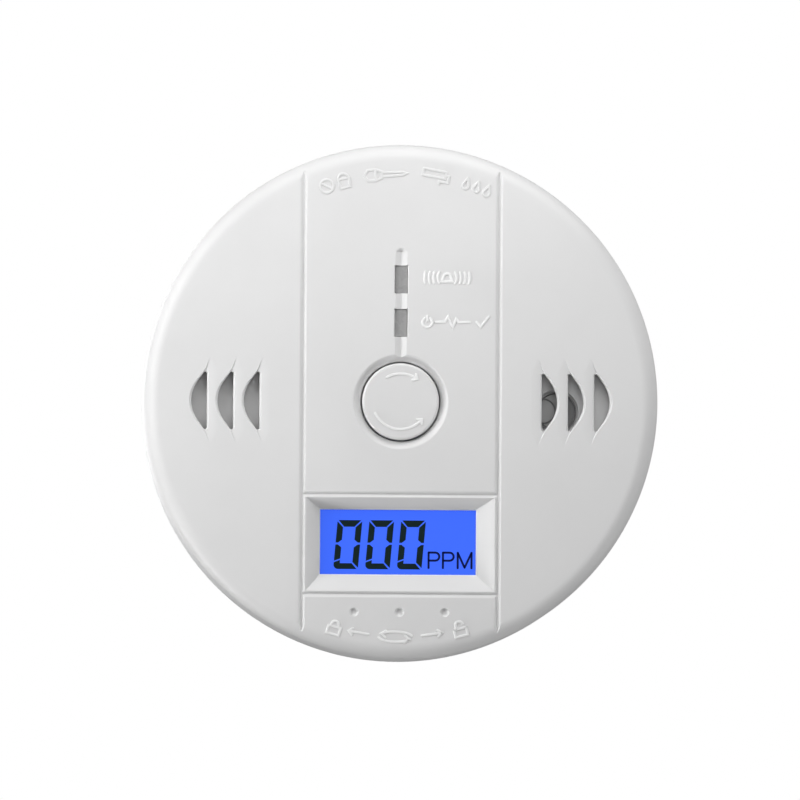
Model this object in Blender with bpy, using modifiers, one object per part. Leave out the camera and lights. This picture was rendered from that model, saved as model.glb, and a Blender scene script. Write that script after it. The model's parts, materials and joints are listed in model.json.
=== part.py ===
"""A round, battery-powered carbon monoxide detector on its twist-on wall base.

Every piece is modelled on a bench, lying on its back: X to the right, Y up the face, and Z from the
wall (0) out to the front face. The bench empty then turns it all upright, so that the finished
object hangs with +Z up and its face towards -Y, and the wall is the plane Y = 0.
"""

import math

import bmesh
import bpy

MM = 0.001

# The whole case, from the wall out to the front.
CASE_RADIUS = 50 * MM
CASE_DEPTH = 37 * MM
WALL = 2 * MM
GAP = 0.3 * MM
ROUND_STEPS = 56
MIDDLE_STEPS = 32

# The wall base.
BASE_RADIUS = 48 * MM
BASE_PLATE = 2.2 * MM
BASE_RIM_TOP = 7.3 * MM
BASE_RIM_INNER = 46 * MM
BASE_RECESS = 0.8 * MM
SCREW_SPACING = 60 * MM
SCREW_SLOT_WIDTH = 4 * MM
SCREW_HEAD_HOLE = 8.5 * MM
SCREW_DROP = 7 * MM
SCREW_PAD_RADIUS = 4.3 * MM
SCREW_PAD_TOP = 2.5 * MM
KEYHOLES = {"upper_keyhole": 31 * MM, "lower_keyhole": 31 * MM - SCREW_SPACING}
WALL_PAD_RADIUS = 9 * MM
RIB_WIDTH = 1.6 * MM

# The twist-on fitting: lugs on the rear housing turn in under lugs on the base.
LUG_ANGLES = (90, 210, 330)
LUG_HALF_WIDTH = 9
TWIST = 22
SPIGOT_INNER = 42 * MM
SPIGOT_OUTER = 43.6 * MM
SPIGOT_LOW = 2.9 * MM
HOUSING_LUG_RADIUS = 45.6 * MM
HOUSING_LUG_LOW = 3.2 * MM
HOUSING_LUG_HIGH = 4.9 * MM
BASE_LUG_INNER = 44 * MM
BASE_LUG_LOW = 5.2 * MM
BASE_LUG_HIGH = 6.8 * MM
STOP_CLEARANCE = 0.6
STOP_WIDTH = 3

# The rear housing.
REAR_LOW = 7.8 * MM
PARTING = 20 * MM
REAR_FLOOR = 9.8 * MM
LIP_INNER = 46.2 * MM
LIP_OUTER = 47.7 * MM
LIP_TOP = 22.5 * MM
FLANK_INNER = CASE_RADIUS - WALL

# The battery bay and its cells, which lie across the case.
BAY_LOW = 4.6 * MM
BAY_TOP = 20.8 * MM
BAY_WALL = 1.5 * MM
BAY_INSIDE = (59 * MM, 46 * MM)
CELL_RADIUS = 7.2 * MM
CELL_LENGTH = 50.5 * MM
CELL_PITCH = 15.2 * MM
CELL_Z = 11.8 * MM
CONTACT_THICKNESS = 0.5 * MM
CONTACT_HEIGHT = 12 * MM
CONTACT_WIDTH = 10 * MM

# The holes that the two end contacts' tails pass through.
TAIL_HOLE = (1.2 * MM, 3 * MM)
TAIL_X = BAY_INSIDE[0] / 2 - TAIL_HOLE[0] / 2
TAILS = {"positive": (-TAIL_X, CELL_PITCH), "negative": (TAIL_X, -CELL_PITCH)}

# The circuit board, the screws that hold it, and the screws that hold the case together.
BOARD_LOW = 24 * MM
BOARD_TOP = 25.6 * MM
BOARD_RADIUS = 44.5 * MM
ON_BOARD = BOARD_TOP + GAP
BOARD_SCREWS = ((22 * MM, 21.5 * MM), (-22 * MM, 21.5 * MM), (-24 * MM, -19 * MM), (24 * MM, -19 * MM))
CASE_SCREWS = ((26.5 * MM, 28.5 * MM), (-26.5 * MM, 28.5 * MM), (-26.5 * MM, -28.5 * MM), (26.5 * MM, -28.5 * MM))
POST_TOP = 23 * MM
CASE_SCREW_SEAT = 12.5 * MM
BOSS_RADIUS = 3 * MM

# The front face.
FACE_BACK = CASE_DEPTH - WALL
RIM_ROUND = 3 * MM
GROOVE_HALF_WIDTH = 0.55 * MM
UPRIGHT_GROOVE_X = 19 * MM
UPPER_GROOVE_Y = -18.05 * MM
LOWER_GROOVE_Y = -37.4 * MM

# The vents: crescents with a straight edge towards the middle of the face.
VENT_STRAIGHT_X = (27.4 * MM, 32.5 * MM, 37.6 * MM)
VENT_WIDTH = 3 * MM
VENT_BOW = 5.4 * MM
VENT_LEAN = math.radians(30)
VENT_TIP = 0.33 * MM

# The button in its dish, and the switch behind it.
DISH_RADIUS = 9.3 * MM
DISH_DEPTH = 1 * MM
BUTTON_HOLE = 7.8 * MM
BUTTON_RADIUS = 7.45 * MM
BUTTON_TOP = 36.9 * MM
BUTTON_EDGE = 0.6 * MM
BUTTON_FLANGE = 9 * MM
GUIDE_LOW = 32.8 * MM
STEM_LOW = 30.2 * MM
PLUNGER_TOP = 29.9 * MM

# The lamp windows and the channel that runs through them down to the button.
LAMP_SLOT = (2.5 * MM, 5.4 * MM)
LAMP_Y = {"alarm": 23.75 * MM, "operate": 15.3 * MM}
LAMP_TIP = 36.2 * MM
CHANNEL_TOP = 29.8 * MM
CHANNEL_HALF_WIDTH = 1 * MM
CHANNEL_DEPTH = 0.5 * MM

# The display and the funnel in front of it.
WINDOW = (30.2 * MM, 12.5 * MM)
WINDOW_CENTRE = (-0.4 * MM, -27.25 * MM)
FUNNEL = (36.4 * MM, 18 * MM)
FUNNEL_CENTRE = (0.05 * MM, -27.7 * MM)
FUNNEL_LOW = 34.6 * MM
COLLAR_LOW = 34 * MM
COLLAR = (40 * MM, 22 * MM)
GLASS = (36 * MM, 17.6 * MM)
GLASS_LOW = 31.5 * MM
GLASS_TOP = 33.7 * MM

DIMPLE_X = (-8.8 * MM, 0, 8.8 * MM)
DIMPLE_Y = -40.9 * MM
DIMPLE_RADIUS = 0.8 * MM
DIMPLE_DEPTH = 0.6 * MM

# The sensor behind the right-hand vents and the sounder behind the left-hand ones.
SENSOR_AT = (30.35 * MM, -1.7 * MM)
SENSOR_RADIUS = 11.5 * MM
FILTER_RADIUS = 3.9 * MM
SENSOR_TOP = 33.9 * MM
SOUNDER_X = -31.55 * MM
SOUNDER_RADIUS = 11.5 * MM
SOUNDER_TOP = 34.2 * MM


def clear_scene():
    for old in list(bpy.data.objects):
        bpy.data.objects.remove(old)


def new_collection(name):
    collection = bpy.data.collections.new(name)
    bpy.context.scene.collection.children.link(collection)
    return collection


clear_scene()
PIECES = new_collection("carbon_monoxide_detector")
CUTTERS = new_collection("cutters")


def new_pivot(name, parent=None, z=0.0):
    pivot = bpy.data.objects.new(name, None)
    pivot.location.z = z
    pivot.parent = parent
    PIECES.objects.link(pivot)
    return pivot


# The bench stands everything upright. The detector turns about the bench's Z, and the button
# travels along it.
BENCH = new_pivot("bench")
BENCH.rotation_euler.x = math.radians(90)
DETECTOR = new_pivot("detector_twist", BENCH)
BUTTON = new_pivot("button_travel", DETECTOR, BUTTON_TOP)


def new_material(name, colour, roughness, metallic=0.0):
    material = bpy.data.materials.new(name)
    material.use_nodes = True
    shader = material.node_tree.nodes["Principled BSDF"]
    shader.inputs["Base Color"].default_value = (*colour, 1.0)
    shader.inputs["Roughness"].default_value = roughness
    shader.inputs["Metallic"].default_value = metallic
    material.diffuse_color = (*colour, 1.0)
    return material


def add_object(name, mesh, parent=None):
    """Puts a mesh on the bench as a piece or, without a parent, as a cutter that isn't a piece."""
    piece = bpy.data.objects.new(name, mesh)
    piece.parent = parent or BENCH
    if parent is BUTTON:
        piece.location.z = -BUTTON_TOP
    if parent:
        PIECES.objects.link(piece)
    else:
        CUTTERS.objects.link(piece)
        piece.hide_render = True
        piece.display_type = "WIRE"
    return piece


def mesh_from(make, name):
    """A mesh made by one bmesh operation."""
    mesh = bpy.data.meshes.new(name)
    work = bmesh.new()
    make(work)
    work.to_mesh(mesh)
    work.free()
    return mesh


def finish(piece, colour, roughness, metallic=0.0, smooth=True):
    """Gives a piece its own material and smooth shading up to its real corners."""
    piece.data.materials.append(new_material(piece.name, colour, roughness, metallic))
    if smooth and piece.type == "MESH":
        piece.data.shade_smooth()
        piece.data.set_sharp_from_angle(angle=math.radians(35))
    return piece


def box(name, size, centre, parent=None):
    mesh = mesh_from(lambda work: bmesh.ops.create_cube(work, size=1), name)
    for vertex in mesh.vertices:
        for axis in range(3):
            vertex.co[axis] = vertex.co[axis] * size[axis] + centre[axis]
    return add_object(name, mesh, parent)


def block(name, size, centre, low, high, parent=None):
    """A box given by its size and centre seen from the front, and by where it starts and ends."""
    return box(name, (*size, high - low), (*centre, (low + high) / 2), parent)


def cylinder(name, radius, low, high, at=(0, 0), parent=None, steps=24):
    def make(work):
        bmesh.ops.create_cone(
            work, cap_ends=True, segments=steps, radius1=radius, radius2=radius, depth=high - low
        )

    mesh = mesh_from(make, name)
    for vertex in mesh.vertices:
        vertex.co.x += at[0]
        vertex.co.y += at[1]
        vertex.co.z += (low + high) / 2
    return add_object(name, mesh, parent)


def turned(name, profile, parent=None, closed=False, steps=ROUND_STEPS):
    """A turned shape. The profile is (radius, height) pairs that run down its outer side."""
    mesh = bpy.data.meshes.new(name)
    points = [(radius, 0, height) for radius, height in profile]
    edges = [(i, i + 1) for i in range(len(points) - 1)]
    if closed:
        edges.append((len(points) - 1, 0))
    mesh.from_pydata(points, edges, [])
    piece = add_object(name, mesh, parent)
    screw = piece.modifiers.new("turn", "SCREW")
    screw.steps = steps
    screw.render_steps = steps
    screw.use_merge_vertices = True
    screw.merge_threshold = 0.000001
    return piece


def prism(name, outline, low, high, parent=None):
    """A flat outline given thickness: a filled curve, made a mesh so that it can cut and be joined."""
    curve = bpy.data.curves.new(name, "CURVE")
    curve.dimensions = "2D"
    curve.fill_mode = "BOTH"
    curve.extrude = (high - low) / 2
    spline = curve.splines.new("POLY")
    spline.points.add(len(outline) - 1)
    for point, (x, y) in zip(spline.points, outline):
        point.co = (x, y, 0, 1)
    spline.use_cyclic_u = True
    guide = bpy.data.objects.new(name, curve)
    CUTTERS.objects.link(guide)
    graph = bpy.context.evaluated_depsgraph_get()
    mesh = bpy.data.meshes.new_from_object(guide.evaluated_get(graph))
    bpy.data.objects.remove(guide)

    work = bmesh.new()
    work.from_mesh(mesh)
    bmesh.ops.remove_doubles(work, verts=work.verts, dist=0.000001)
    bmesh.ops.recalc_face_normals(work, faces=work.faces)
    bmesh.ops.translate(work, verts=work.verts, vec=(0, 0, (low + high) / 2))
    work.to_mesh(mesh)
    work.free()
    return add_object(name, mesh, parent)


def arc(centre, radius, start, end, steps):
    """Points along an arc, with the angles in radians."""
    turns = [start + (end - start) * i / steps for i in range(steps + 1)]
    return [(centre[0] + radius * math.cos(a), centre[1] + radius * math.sin(a)) for a in turns]


def sector(name, inner, outer, start, end, low, high, parent=None, steps=6):
    """Part of a flat ring, with its angles in degrees."""
    start = math.radians(start)
    end = math.radians(end)
    outline = arc((0, 0), outer, start, end, steps) + arc((0, 0), inner, end, start, steps)
    return prism(name, outline, low, high, parent)


def boolean(piece, operation, tools):
    for tool in tools:
        modifier = piece.modifiers.new(f"{operation.lower()}_{tool.name}", "BOOLEAN")
        modifier.operation = operation
        modifier.object = tool


def cut(piece, *tools):
    boolean(piece, "DIFFERENCE", tools)


def join(piece, *tools):
    boolean(piece, "UNION", tools)


# ---------------------------------------------------------------------------
# The wall base
# ---------------------------------------------------------------------------


def keyhole(name, slot_y):
    """A round entry for the screw's head, with a slot above it for the shank to drop into."""
    entry = cylinder(f"{name}_entry", SCREW_HEAD_HOLE / 2, -1 * MM, 4 * MM, (0, slot_y - SCREW_DROP))
    end = cylinder(f"{name}_end", SCREW_SLOT_WIDTH / 2, -1.1 * MM, 4.1 * MM, (0, slot_y), steps=16)
    slot = block(
        f"{name}_slot", (SCREW_SLOT_WIDTH, SCREW_DROP), (0, slot_y - SCREW_DROP / 2), -1.2 * MM, 4.2 * MM
    )
    return entry, end, slot


def curved_slot(name, middle):
    """A slot along an arc, which lets the base be turned level on its screws."""
    radius = SCREW_SPACING / 2
    half_width = SCREW_SLOT_WIDTH / 2
    reach = math.radians(13)
    start = middle - reach
    end = middle + reach
    end_centre = (radius * math.cos(end), radius * math.sin(end))
    start_centre = (radius * math.cos(start), radius * math.sin(start))
    outline = (
        arc((0, 0), radius + half_width, start, end, 6)[:-1]
        + arc(end_centre, half_width, end, end + math.pi, 5)
        + arc((0, 0), radius - half_width, end, start, 6)[1:-1]
        + arc(start_centre, half_width, start + math.pi, start + 2 * math.pi, 5)[:-1]
    )
    return prism(name, outline, -1 * MM, 4 * MM)


def mounting_base():
    rim_edge = 0.4 * MM
    recess_outer = 44 * MM
    recess_inner = 15 * MM
    profile = [
        (0, BASE_PLATE),
        (BASE_RIM_INNER, BASE_PLATE),
        (BASE_RIM_INNER, BASE_RIM_TOP),
        (BASE_RADIUS - rim_edge, BASE_RIM_TOP),
        (BASE_RADIUS, BASE_RIM_TOP - rim_edge),
        (BASE_RADIUS, rim_edge),
        (BASE_RADIUS - rim_edge, 0),
        (recess_outer, 0),
        (recess_outer, BASE_RECESS),
        (recess_inner, BASE_RECESS),
        (recess_inner, 0),
        (0, 0),
    ]
    base = turned("mounting_base", profile, BENCH)

    # Round each keyhole a wide pad bears on the wall, and a small one takes the screw's head. A rib
    # joins the ring to the middle, just clear of the wall.
    inside_plate = BASE_RECESS + 0.6 * MM
    for name, slot_y in KEYHOLES.items():
        pad_at = (0, slot_y - SCREW_DROP / 2)
        join(
            base,
            cylinder(f"{name}_wall_pad", WALL_PAD_RADIUS, 0, inside_plate + 0.1 * MM, pad_at, steps=28),
            cylinder(f"{name}_head_pad", SCREW_PAD_RADIUS, inside_plate, SCREW_PAD_TOP, (0, slot_y)),
        )
    rib_size = (2 * recess_outer + 1 * MM, RIB_WIDTH)
    join(base, block("level_rib", rib_size, (0, 0), 0.01 * MM, inside_plate - 0.1 * MM))

    rim_overlap = 0.8 * MM
    for angle in LUG_ANGLES:
        lock_stop = angle - LUG_HALF_WIDTH - STOP_CLEARANCE
        open_stop = angle + TWIST + LUG_HALF_WIDTH + STOP_CLEARANCE
        outer = BASE_RIM_INNER + rim_overlap
        join(
            base,
            sector(
                f"base_lug_{angle}",
                BASE_LUG_INNER,
                outer,
                angle - LUG_HALF_WIDTH,
                angle + LUG_HALF_WIDTH,
                BASE_LUG_LOW,
                BASE_LUG_HIGH,
            ),
            sector(
                f"lock_stop_{angle}",
                BASE_LUG_INNER,
                outer + 0.1 * MM,
                lock_stop - STOP_WIDTH,
                lock_stop,
                BASE_PLATE - 0.4 * MM,
                BASE_LUG_HIGH - 0.1 * MM,
                steps=2,
            ),
            sector(
                f"open_stop_{angle}",
                BASE_LUG_INNER,
                outer + 0.1 * MM,
                open_stop,
                open_stop + STOP_WIDTH,
                BASE_PLATE - 0.4 * MM,
                BASE_LUG_LOW,
                steps=2,
            ),
        )

    for name, slot_y in KEYHOLES.items():
        cut(base, *keyhole(name, slot_y))
    for side, middle in (("right", 0), ("left", 180)):
        cut(base, curved_slot(f"{side}_slot", math.radians(middle)))
    return finish(base, (0.78, 0.78, 0.77), 0.5)


# ---------------------------------------------------------------------------
# The rear housing
# ---------------------------------------------------------------------------


def rear_housing():
    edge = 0.8 * MM
    profile = [
        (0, REAR_FLOOR),
        (FLANK_INNER, REAR_FLOOR),
        (FLANK_INNER, PARTING - 2.5 * MM),
        (LIP_INNER, PARTING - 1.5 * MM),
        (LIP_INNER, LIP_TOP),
        (LIP_OUTER, LIP_TOP),
        (LIP_OUTER, PARTING),
        (CASE_RADIUS, PARTING),
        (CASE_RADIUS, REAR_LOW + edge),
        (CASE_RADIUS - edge, REAR_LOW),
        (SPIGOT_OUTER, REAR_LOW),
        (SPIGOT_OUTER, SPIGOT_LOW),
        (SPIGOT_INNER, SPIGOT_LOW),
        (SPIGOT_INNER, REAR_LOW),
        (0, REAR_LOW),
    ]
    housing = turned("rear_housing", profile, DETECTOR)

    bay_outside = (BAY_INSIDE[0] + 2 * BAY_WALL, BAY_INSIDE[1] + 2 * BAY_WALL)
    join(housing, block("bay_outside", bay_outside, (0, 0), BAY_LOW, BAY_TOP))
    cut(housing, block("bay_inside", BAY_INSIDE, (0, 0), BAY_LOW - 1 * MM, BAY_TOP - BAY_WALL))

    post_radius = 3.2 * MM
    for number, at in enumerate(CASE_SCREWS, 1):
        join(housing, cylinder(f"post_{number}", post_radius, REAR_FLOOR - 1 * MM, POST_TOP, at, steps=16))
    for number, at in enumerate(CASE_SCREWS, 1):
        cut(
            housing,
            cylinder(f"head_room_{number}", 2.8 * MM, REAR_LOW - 1 * MM, CASE_SCREW_SEAT, at, steps=16),
            cylinder(f"post_hole_{number}", 1.6 * MM, 12 * MM, POST_TOP + 1 * MM, at, steps=12),
        )

    for angle in LUG_ANGLES:
        join(
            housing,
            sector(
                f"housing_lug_{angle}",
                SPIGOT_OUTER - 0.6 * MM,
                HOUSING_LUG_RADIUS,
                angle - LUG_HALF_WIDTH,
                angle + LUG_HALF_WIDTH,
                HOUSING_LUG_LOW,
                HOUSING_LUG_HIGH,
            ),
        )

    for name, at in TAILS.items():
        cut(housing, block(f"{name}_tail_slot", TAIL_HOLE, at, 18 * MM, BAY_TOP + 1 * MM))
    return finish(housing, (0.8, 0.8, 0.79), 0.45)


# ---------------------------------------------------------------------------
# The front cover
# ---------------------------------------------------------------------------


def groove(name, length, centre, turn):
    """A square bar stood on its edge along a line of the face, so that it cuts a V."""
    side = GROOVE_HALF_WIDTH * math.sqrt(2)
    bar = box(name, (length, side, side), (0, 0, 0))
    bar.location = (*centre, CASE_DEPTH)
    bar.rotation_euler = (math.radians(45), 0, turn)
    return bar


def crescent(side, straight_x):
    """One vent's outline: straight towards the middle of the face, and bowed between two straight
    tails on the other side."""
    bow_x = VENT_WIDTH - VENT_BOW
    tip_y = (VENT_BOW - VENT_TIP - (VENT_TIP - bow_x) * math.cos(VENT_LEAN)) / math.sin(VENT_LEAN)
    outline = (
        arc((bow_x, 0), VENT_BOW, -VENT_LEAN, VENT_LEAN, 8)
        + arc((VENT_TIP, tip_y), VENT_TIP, VENT_LEAN, math.pi, 3)
        + arc((VENT_TIP, -tip_y), VENT_TIP, math.pi, 2 * math.pi - VENT_LEAN, 3)
    )
    return [(side * (straight_x + x), y) for x, y in outline]


def funnel():
    """The recess round the display: a cube whose back face is drawn in to the window's size."""
    above = 1 * MM
    depth = CASE_DEPTH - FUNNEL_LOW
    mesh = mesh_from(lambda work: bmesh.ops.create_cube(work, size=1), "funnel")
    for vertex in mesh.vertices:
        front = vertex.co.z > 0
        grow = (depth + above) / depth if front else 0
        for axis in range(2):
            size = WINDOW[axis] + (FUNNEL[axis] - WINDOW[axis]) * grow
            centre = WINDOW_CENTRE[axis] + (FUNNEL_CENTRE[axis] - WINDOW_CENTRE[axis]) * grow
            vertex.co[axis] = vertex.co[axis] * size + centre
        vertex.co.z = CASE_DEPTH + above if front else FUNNEL_LOW
    return add_object("funnel", mesh)


def channel():
    """The shallow V that runs from above the upper lamp down into the button's dish."""
    bottom = DISH_RADIUS - 1 * MM
    rise = 0.5 * MM
    length = CHANNEL_TOP - bottom
    mesh = mesh_from(lambda work: bmesh.ops.create_cube(work, size=1), "channel")
    for vertex in mesh.vertices:
        deep = vertex.co.z < 0
        slope = (CHANNEL_DEPTH + rise) / CHANNEL_DEPTH
        reach = 0.12 * MM if deep else CHANNEL_HALF_WIDTH * slope
        vertex.co.x = math.copysign(reach, vertex.co.x)
        upper_end = vertex.co.y > 0
        drawn_in = CHANNEL_HALF_WIDTH if deep and upper_end else 0
        vertex.co.y = bottom + (length - drawn_in if upper_end else 0)
        vertex.co.z = CASE_DEPTH - CHANNEL_DEPTH if deep else CASE_DEPTH + rise
    return add_object("channel", mesh)


def front_shell():
    """The bare cover, with its rounded rim, before anything is joined to it or cut from it."""
    rim = arc((CASE_RADIUS - RIM_ROUND, CASE_DEPTH - RIM_ROUND), RIM_ROUND, math.pi / 2, 0, 4)
    inner_round = 1.5 * MM
    profile = [
        (0, CASE_DEPTH),
        *rim,
        (CASE_RADIUS, PARTING + GAP),
        (FLANK_INNER, PARTING + GAP),
        (FLANK_INNER, FACE_BACK - inner_round),
        (FLANK_INNER - inner_round, FACE_BACK),
        (0, FACE_BACK),
    ]
    return turned("front_cover", profile, DETECTOR)


def join_bosses(cover):
    into_face = FACE_BACK + 0.5 * MM
    for number, at in enumerate(CASE_SCREWS, 1):
        join(cover, cylinder(f"case_boss_{number}", BOSS_RADIUS, POST_TOP + GAP, into_face, at, steps=16))
        cut(cover, cylinder(f"case_pilot_{number}", 1.6 * MM, POST_TOP, 33 * MM, at, steps=12))
    for number, at in enumerate(BOARD_SCREWS, 1):
        join(cover, cylinder(f"board_boss_{number}", 2.6 * MM, ON_BOARD, into_face, at, steps=12))
        cut(cover, cylinder(f"board_pilot_{number}", 1.3 * MM, BOARD_TOP, 31.5 * MM, at, steps=12))
    join(cover, cylinder("button_guide", DISH_RADIUS + 0.4 * MM, GUIDE_LOW, into_face, steps=MIDDLE_STEPS))
    join(cover, block("display_collar", COLLAR, WINDOW_CENTRE, COLLAR_LOW, into_face))


def cut_face(cover):
    through = CASE_DEPTH + 1 * MM
    rim_reach = 2 * math.sqrt((CASE_RADIUS - RIM_ROUND) ** 2 - UPRIGHT_GROOVE_X**2)
    for side in (1, -1):
        at = (side * UPRIGHT_GROOVE_X, 0)
        cut(cover, groove(f"upright_groove_{side}", rim_reach, at, math.radians(90)))
    level_reach = 2 * UPRIGHT_GROOVE_X + 0.5 * MM
    for name, y in (("upper", UPPER_GROOVE_Y), ("lower", LOWER_GROOVE_Y)):
        cut(cover, groove(f"{name}_groove", level_reach, (0, y), 0))

    dish = [
        (0, through),
        (DISH_RADIUS + 1 * MM, through),
        (DISH_RADIUS, CASE_DEPTH),
        (BUTTON_HOLE, CASE_DEPTH - DISH_DEPTH),
        (BUTTON_HOLE, GUIDE_LOW - 1 * MM),
        (0, GUIDE_LOW - 1 * MM),
    ]
    cut(cover, turned("dish", dish, steps=MIDDLE_STEPS), channel())
    for name, y in LAMP_Y.items():
        cut(cover, block(f"{name}_window", LAMP_SLOT, (0, y), FACE_BACK - 1 * MM, through))

    cut(cover, funnel())
    cut(cover, block("display_window", WINDOW, WINDOW_CENTRE, COLLAR_LOW - 1 * MM, FUNNEL_LOW + 0.2 * MM))
    for side in (1, -1):
        for number, straight_x in enumerate(VENT_STRAIGHT_X, 1):
            outline = crescent(side, straight_x)
            cut(cover, prism(f"vent_{side}_{number}", outline, FACE_BACK - 1 * MM, through))
    for x in DIMPLE_X:
        low = CASE_DEPTH - DIMPLE_DEPTH
        cut(cover, cylinder(f"dimple_{x}", DIMPLE_RADIUS, low, through, (x, DIMPLE_Y), steps=16))


def front_cover():
    cover = front_shell()
    join_bosses(cover)
    cut_face(cover)
    return finish(cover, (0.86, 0.86, 0.86), 0.4)


# ---------------------------------------------------------------------------
# The button and the switch
# ---------------------------------------------------------------------------


def test_button():
    """A hollow cap with a flange that stops it against the cover, and a stem that meets the switch."""
    edge_centre = (BUTTON_RADIUS - BUTTON_EDGE, BUTTON_TOP - BUTTON_EDGE)
    flange_top = GUIDE_LOW - GAP
    cap_inside = 35.4 * MM
    skirt_inner = 6.2 * MM
    stem_radius = 1.6 * MM
    profile = [
        (0, BUTTON_TOP),
        *arc(edge_centre, BUTTON_EDGE, math.pi / 2, 0, 3),
        (BUTTON_RADIUS, flange_top),
        (BUTTON_FLANGE, flange_top),
        (BUTTON_FLANGE, flange_top - 1 * MM),
        (skirt_inner, flange_top - 1 * MM),
        (skirt_inner, cap_inside),
        (stem_radius, cap_inside),
        (stem_radius, STEM_LOW),
        (0, STEM_LOW),
    ]
    finish(turned("test_button", profile, BUTTON, steps=MIDDLE_STEPS), (0.86, 0.86, 0.86), 0.38)


def test_switch():
    body = block("test_switch", (6 * MM, 6 * MM), (0, 0), ON_BOARD, 29 * MM, DETECTOR)
    cut(body, cylinder("plunger_bore", 2 * MM, 26.5 * MM, 30 * MM, steps=20))
    finish(body, (0.03, 0.03, 0.03), 0.5)
    plunger = cylinder("switch_plunger", 1.7 * MM, 27.6 * MM, PLUNGER_TOP, (0, 0), BUTTON, steps=20)
    finish(plunger, (0.02, 0.02, 0.02), 0.45)


# ---------------------------------------------------------------------------
# The lamps and the display
# ---------------------------------------------------------------------------


def lamp(name, y):
    """A light pipe with a flange behind the face, and the lamp on the board that it looks at."""
    width = LAMP_SLOT[0] - 2 * GAP
    height = LAMP_SLOT[1] - 2 * GAP
    pipe = block(f"{name}_light_pipe", (width, height), (0, y), 28.4 * MM, LAMP_TIP, DETECTOR)
    flange_size = (3.6 * MM, 6.4 * MM)
    flange_top = FACE_BACK - GAP
    join(pipe, block(f"{name}_flange", flange_size, (0, y), flange_top - 1 * MM, flange_top))
    finish(pipe, (0.3, 0.3, 0.3), 0.25)
    led = cylinder(f"{name}_led", 1.5 * MM, ON_BOARD, 28.1 * MM, (0, y), DETECTOR, steps=20)
    finish(led, (0.8, 0.8, 0.75), 0.2)


def display():
    x, y = WINDOW_CENTRE
    strip_y = y - GLASS[1] / 2 + 1.2 * MM
    inside = (GLASS[0] + 2 * GAP, GLASS[1] + 2 * GAP)
    outside = (inside[0] + 3 * MM, inside[1] + 3 * MM)
    frame_top = GLASS_TOP - 0.4 * MM
    frame = block("lcd_frame", outside, WINDOW_CENTRE, ON_BOARD, frame_top, DETECTOR)
    cut(frame, block("frame_inside", inside, WINDOW_CENTRE, ON_BOARD - 1 * MM, frame_top + 1 * MM))
    finish(frame, (0.75, 0.75, 0.73), 0.5)

    glass = block("lcd_glass", GLASS, WINDOW_CENTRE, GLASS_LOW, GLASS_TOP, DETECTOR)
    finish(glass, (0.06, 0.16, 1.0), 0.15)
    light_size = (32 * MM, 13 * MM)
    backlight = block(
        "lcd_backlight", light_size, (x, y + 1 * MM), GLASS_LOW - 2.8 * MM, GLASS_LOW - GAP, DETECTOR
    )
    finish(backlight, (0.85, 0.87, 0.9), 0.3)
    strip_size = (32 * MM, 1.8 * MM)
    strip = block("lcd_connector", strip_size, (x, strip_y), ON_BOARD, GLASS_LOW - GAP, DETECTOR)
    finish(strip, (0.55, 0.2, 0.25), 0.7)


# ---------------------------------------------------------------------------
# The board and what stands on it
# ---------------------------------------------------------------------------


def main_pcb():
    board = cylinder("main_pcb", BOARD_RADIUS, BOARD_LOW, BOARD_TOP, (0, 0), DETECTOR, ROUND_STEPS)
    low = BOARD_LOW - 1 * MM
    high = BOARD_TOP + 1 * MM
    for number, at in enumerate(CASE_SCREWS, 1):
        cut(board, cylinder(f"boss_hole_{number}", BOSS_RADIUS + 0.6 * MM, low, high, at, steps=16))
    for number, at in enumerate(BOARD_SCREWS, 1):
        cut(board, cylinder(f"screw_hole_{number}", 1.4 * MM, low, high, at, steps=12))
    for name, at in TAILS.items():
        cut(board, block(f"{name}_tail_hole", TAIL_HOLE, at, low, high))
    finish(board, (0.02, 0.16, 0.06), 0.35)


def board_parts():
    chip = block("mcu_chip", (10 * MM, 10 * MM), (11 * MM, 25.5 * MM), ON_BOARD, 27.5 * MM, DETECTOR)
    finish(chip, (0.02, 0.02, 0.02), 0.4)
    transformer = cylinder(
        "sounder_transformer", 4.2 * MM, ON_BOARD, 33.5 * MM, (-11 * MM, 29 * MM), DETECTOR, 24
    )
    finish(transformer, (0.03, 0.03, 0.03), 0.45)
    can_edge = 0.5 * MM
    can_top = 32.5 * MM
    can_radius = 3.15 * MM
    can = [
        (0, can_top),
        (can_radius - can_edge, can_top),
        (can_radius, can_top - can_edge),
        (can_radius, ON_BOARD),
        (0, ON_BOARD),
    ]
    capacitor = turned("smoothing_capacitor", can, DETECTOR, steps=24)
    capacitor.location = (10 * MM, 37 * MM, 0)
    finish(capacitor, (0.05, 0.06, 0.12), 0.35)


def co_sensor():
    """A round can with a dark filter let into the middle of its top."""
    edge = 0.8 * MM
    recess_radius = FILTER_RADIUS + GAP
    recess_floor = SENSOR_TOP - 0.8 * MM
    can = [
        (0, recess_floor),
        (recess_radius, recess_floor),
        (recess_radius, SENSOR_TOP),
        (SENSOR_RADIUS - edge, SENSOR_TOP),
        (SENSOR_RADIUS, SENSOR_TOP - edge),
        (SENSOR_RADIUS, ON_BOARD),
        (0, ON_BOARD),
    ]
    body = turned("co_sensor_body", can, DETECTOR, steps=MIDDLE_STEPS)
    body.location = (*SENSOR_AT, 0)
    finish(body, (0.6, 0.6, 0.6), 0.4)
    dark = cylinder(
        "co_sensor_filter", FILTER_RADIUS, recess_floor + GAP, SENSOR_TOP, SENSOR_AT, DETECTOR, 24
    )
    finish(dark, (0.08, 0.08, 0.08), 0.8)


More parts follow.
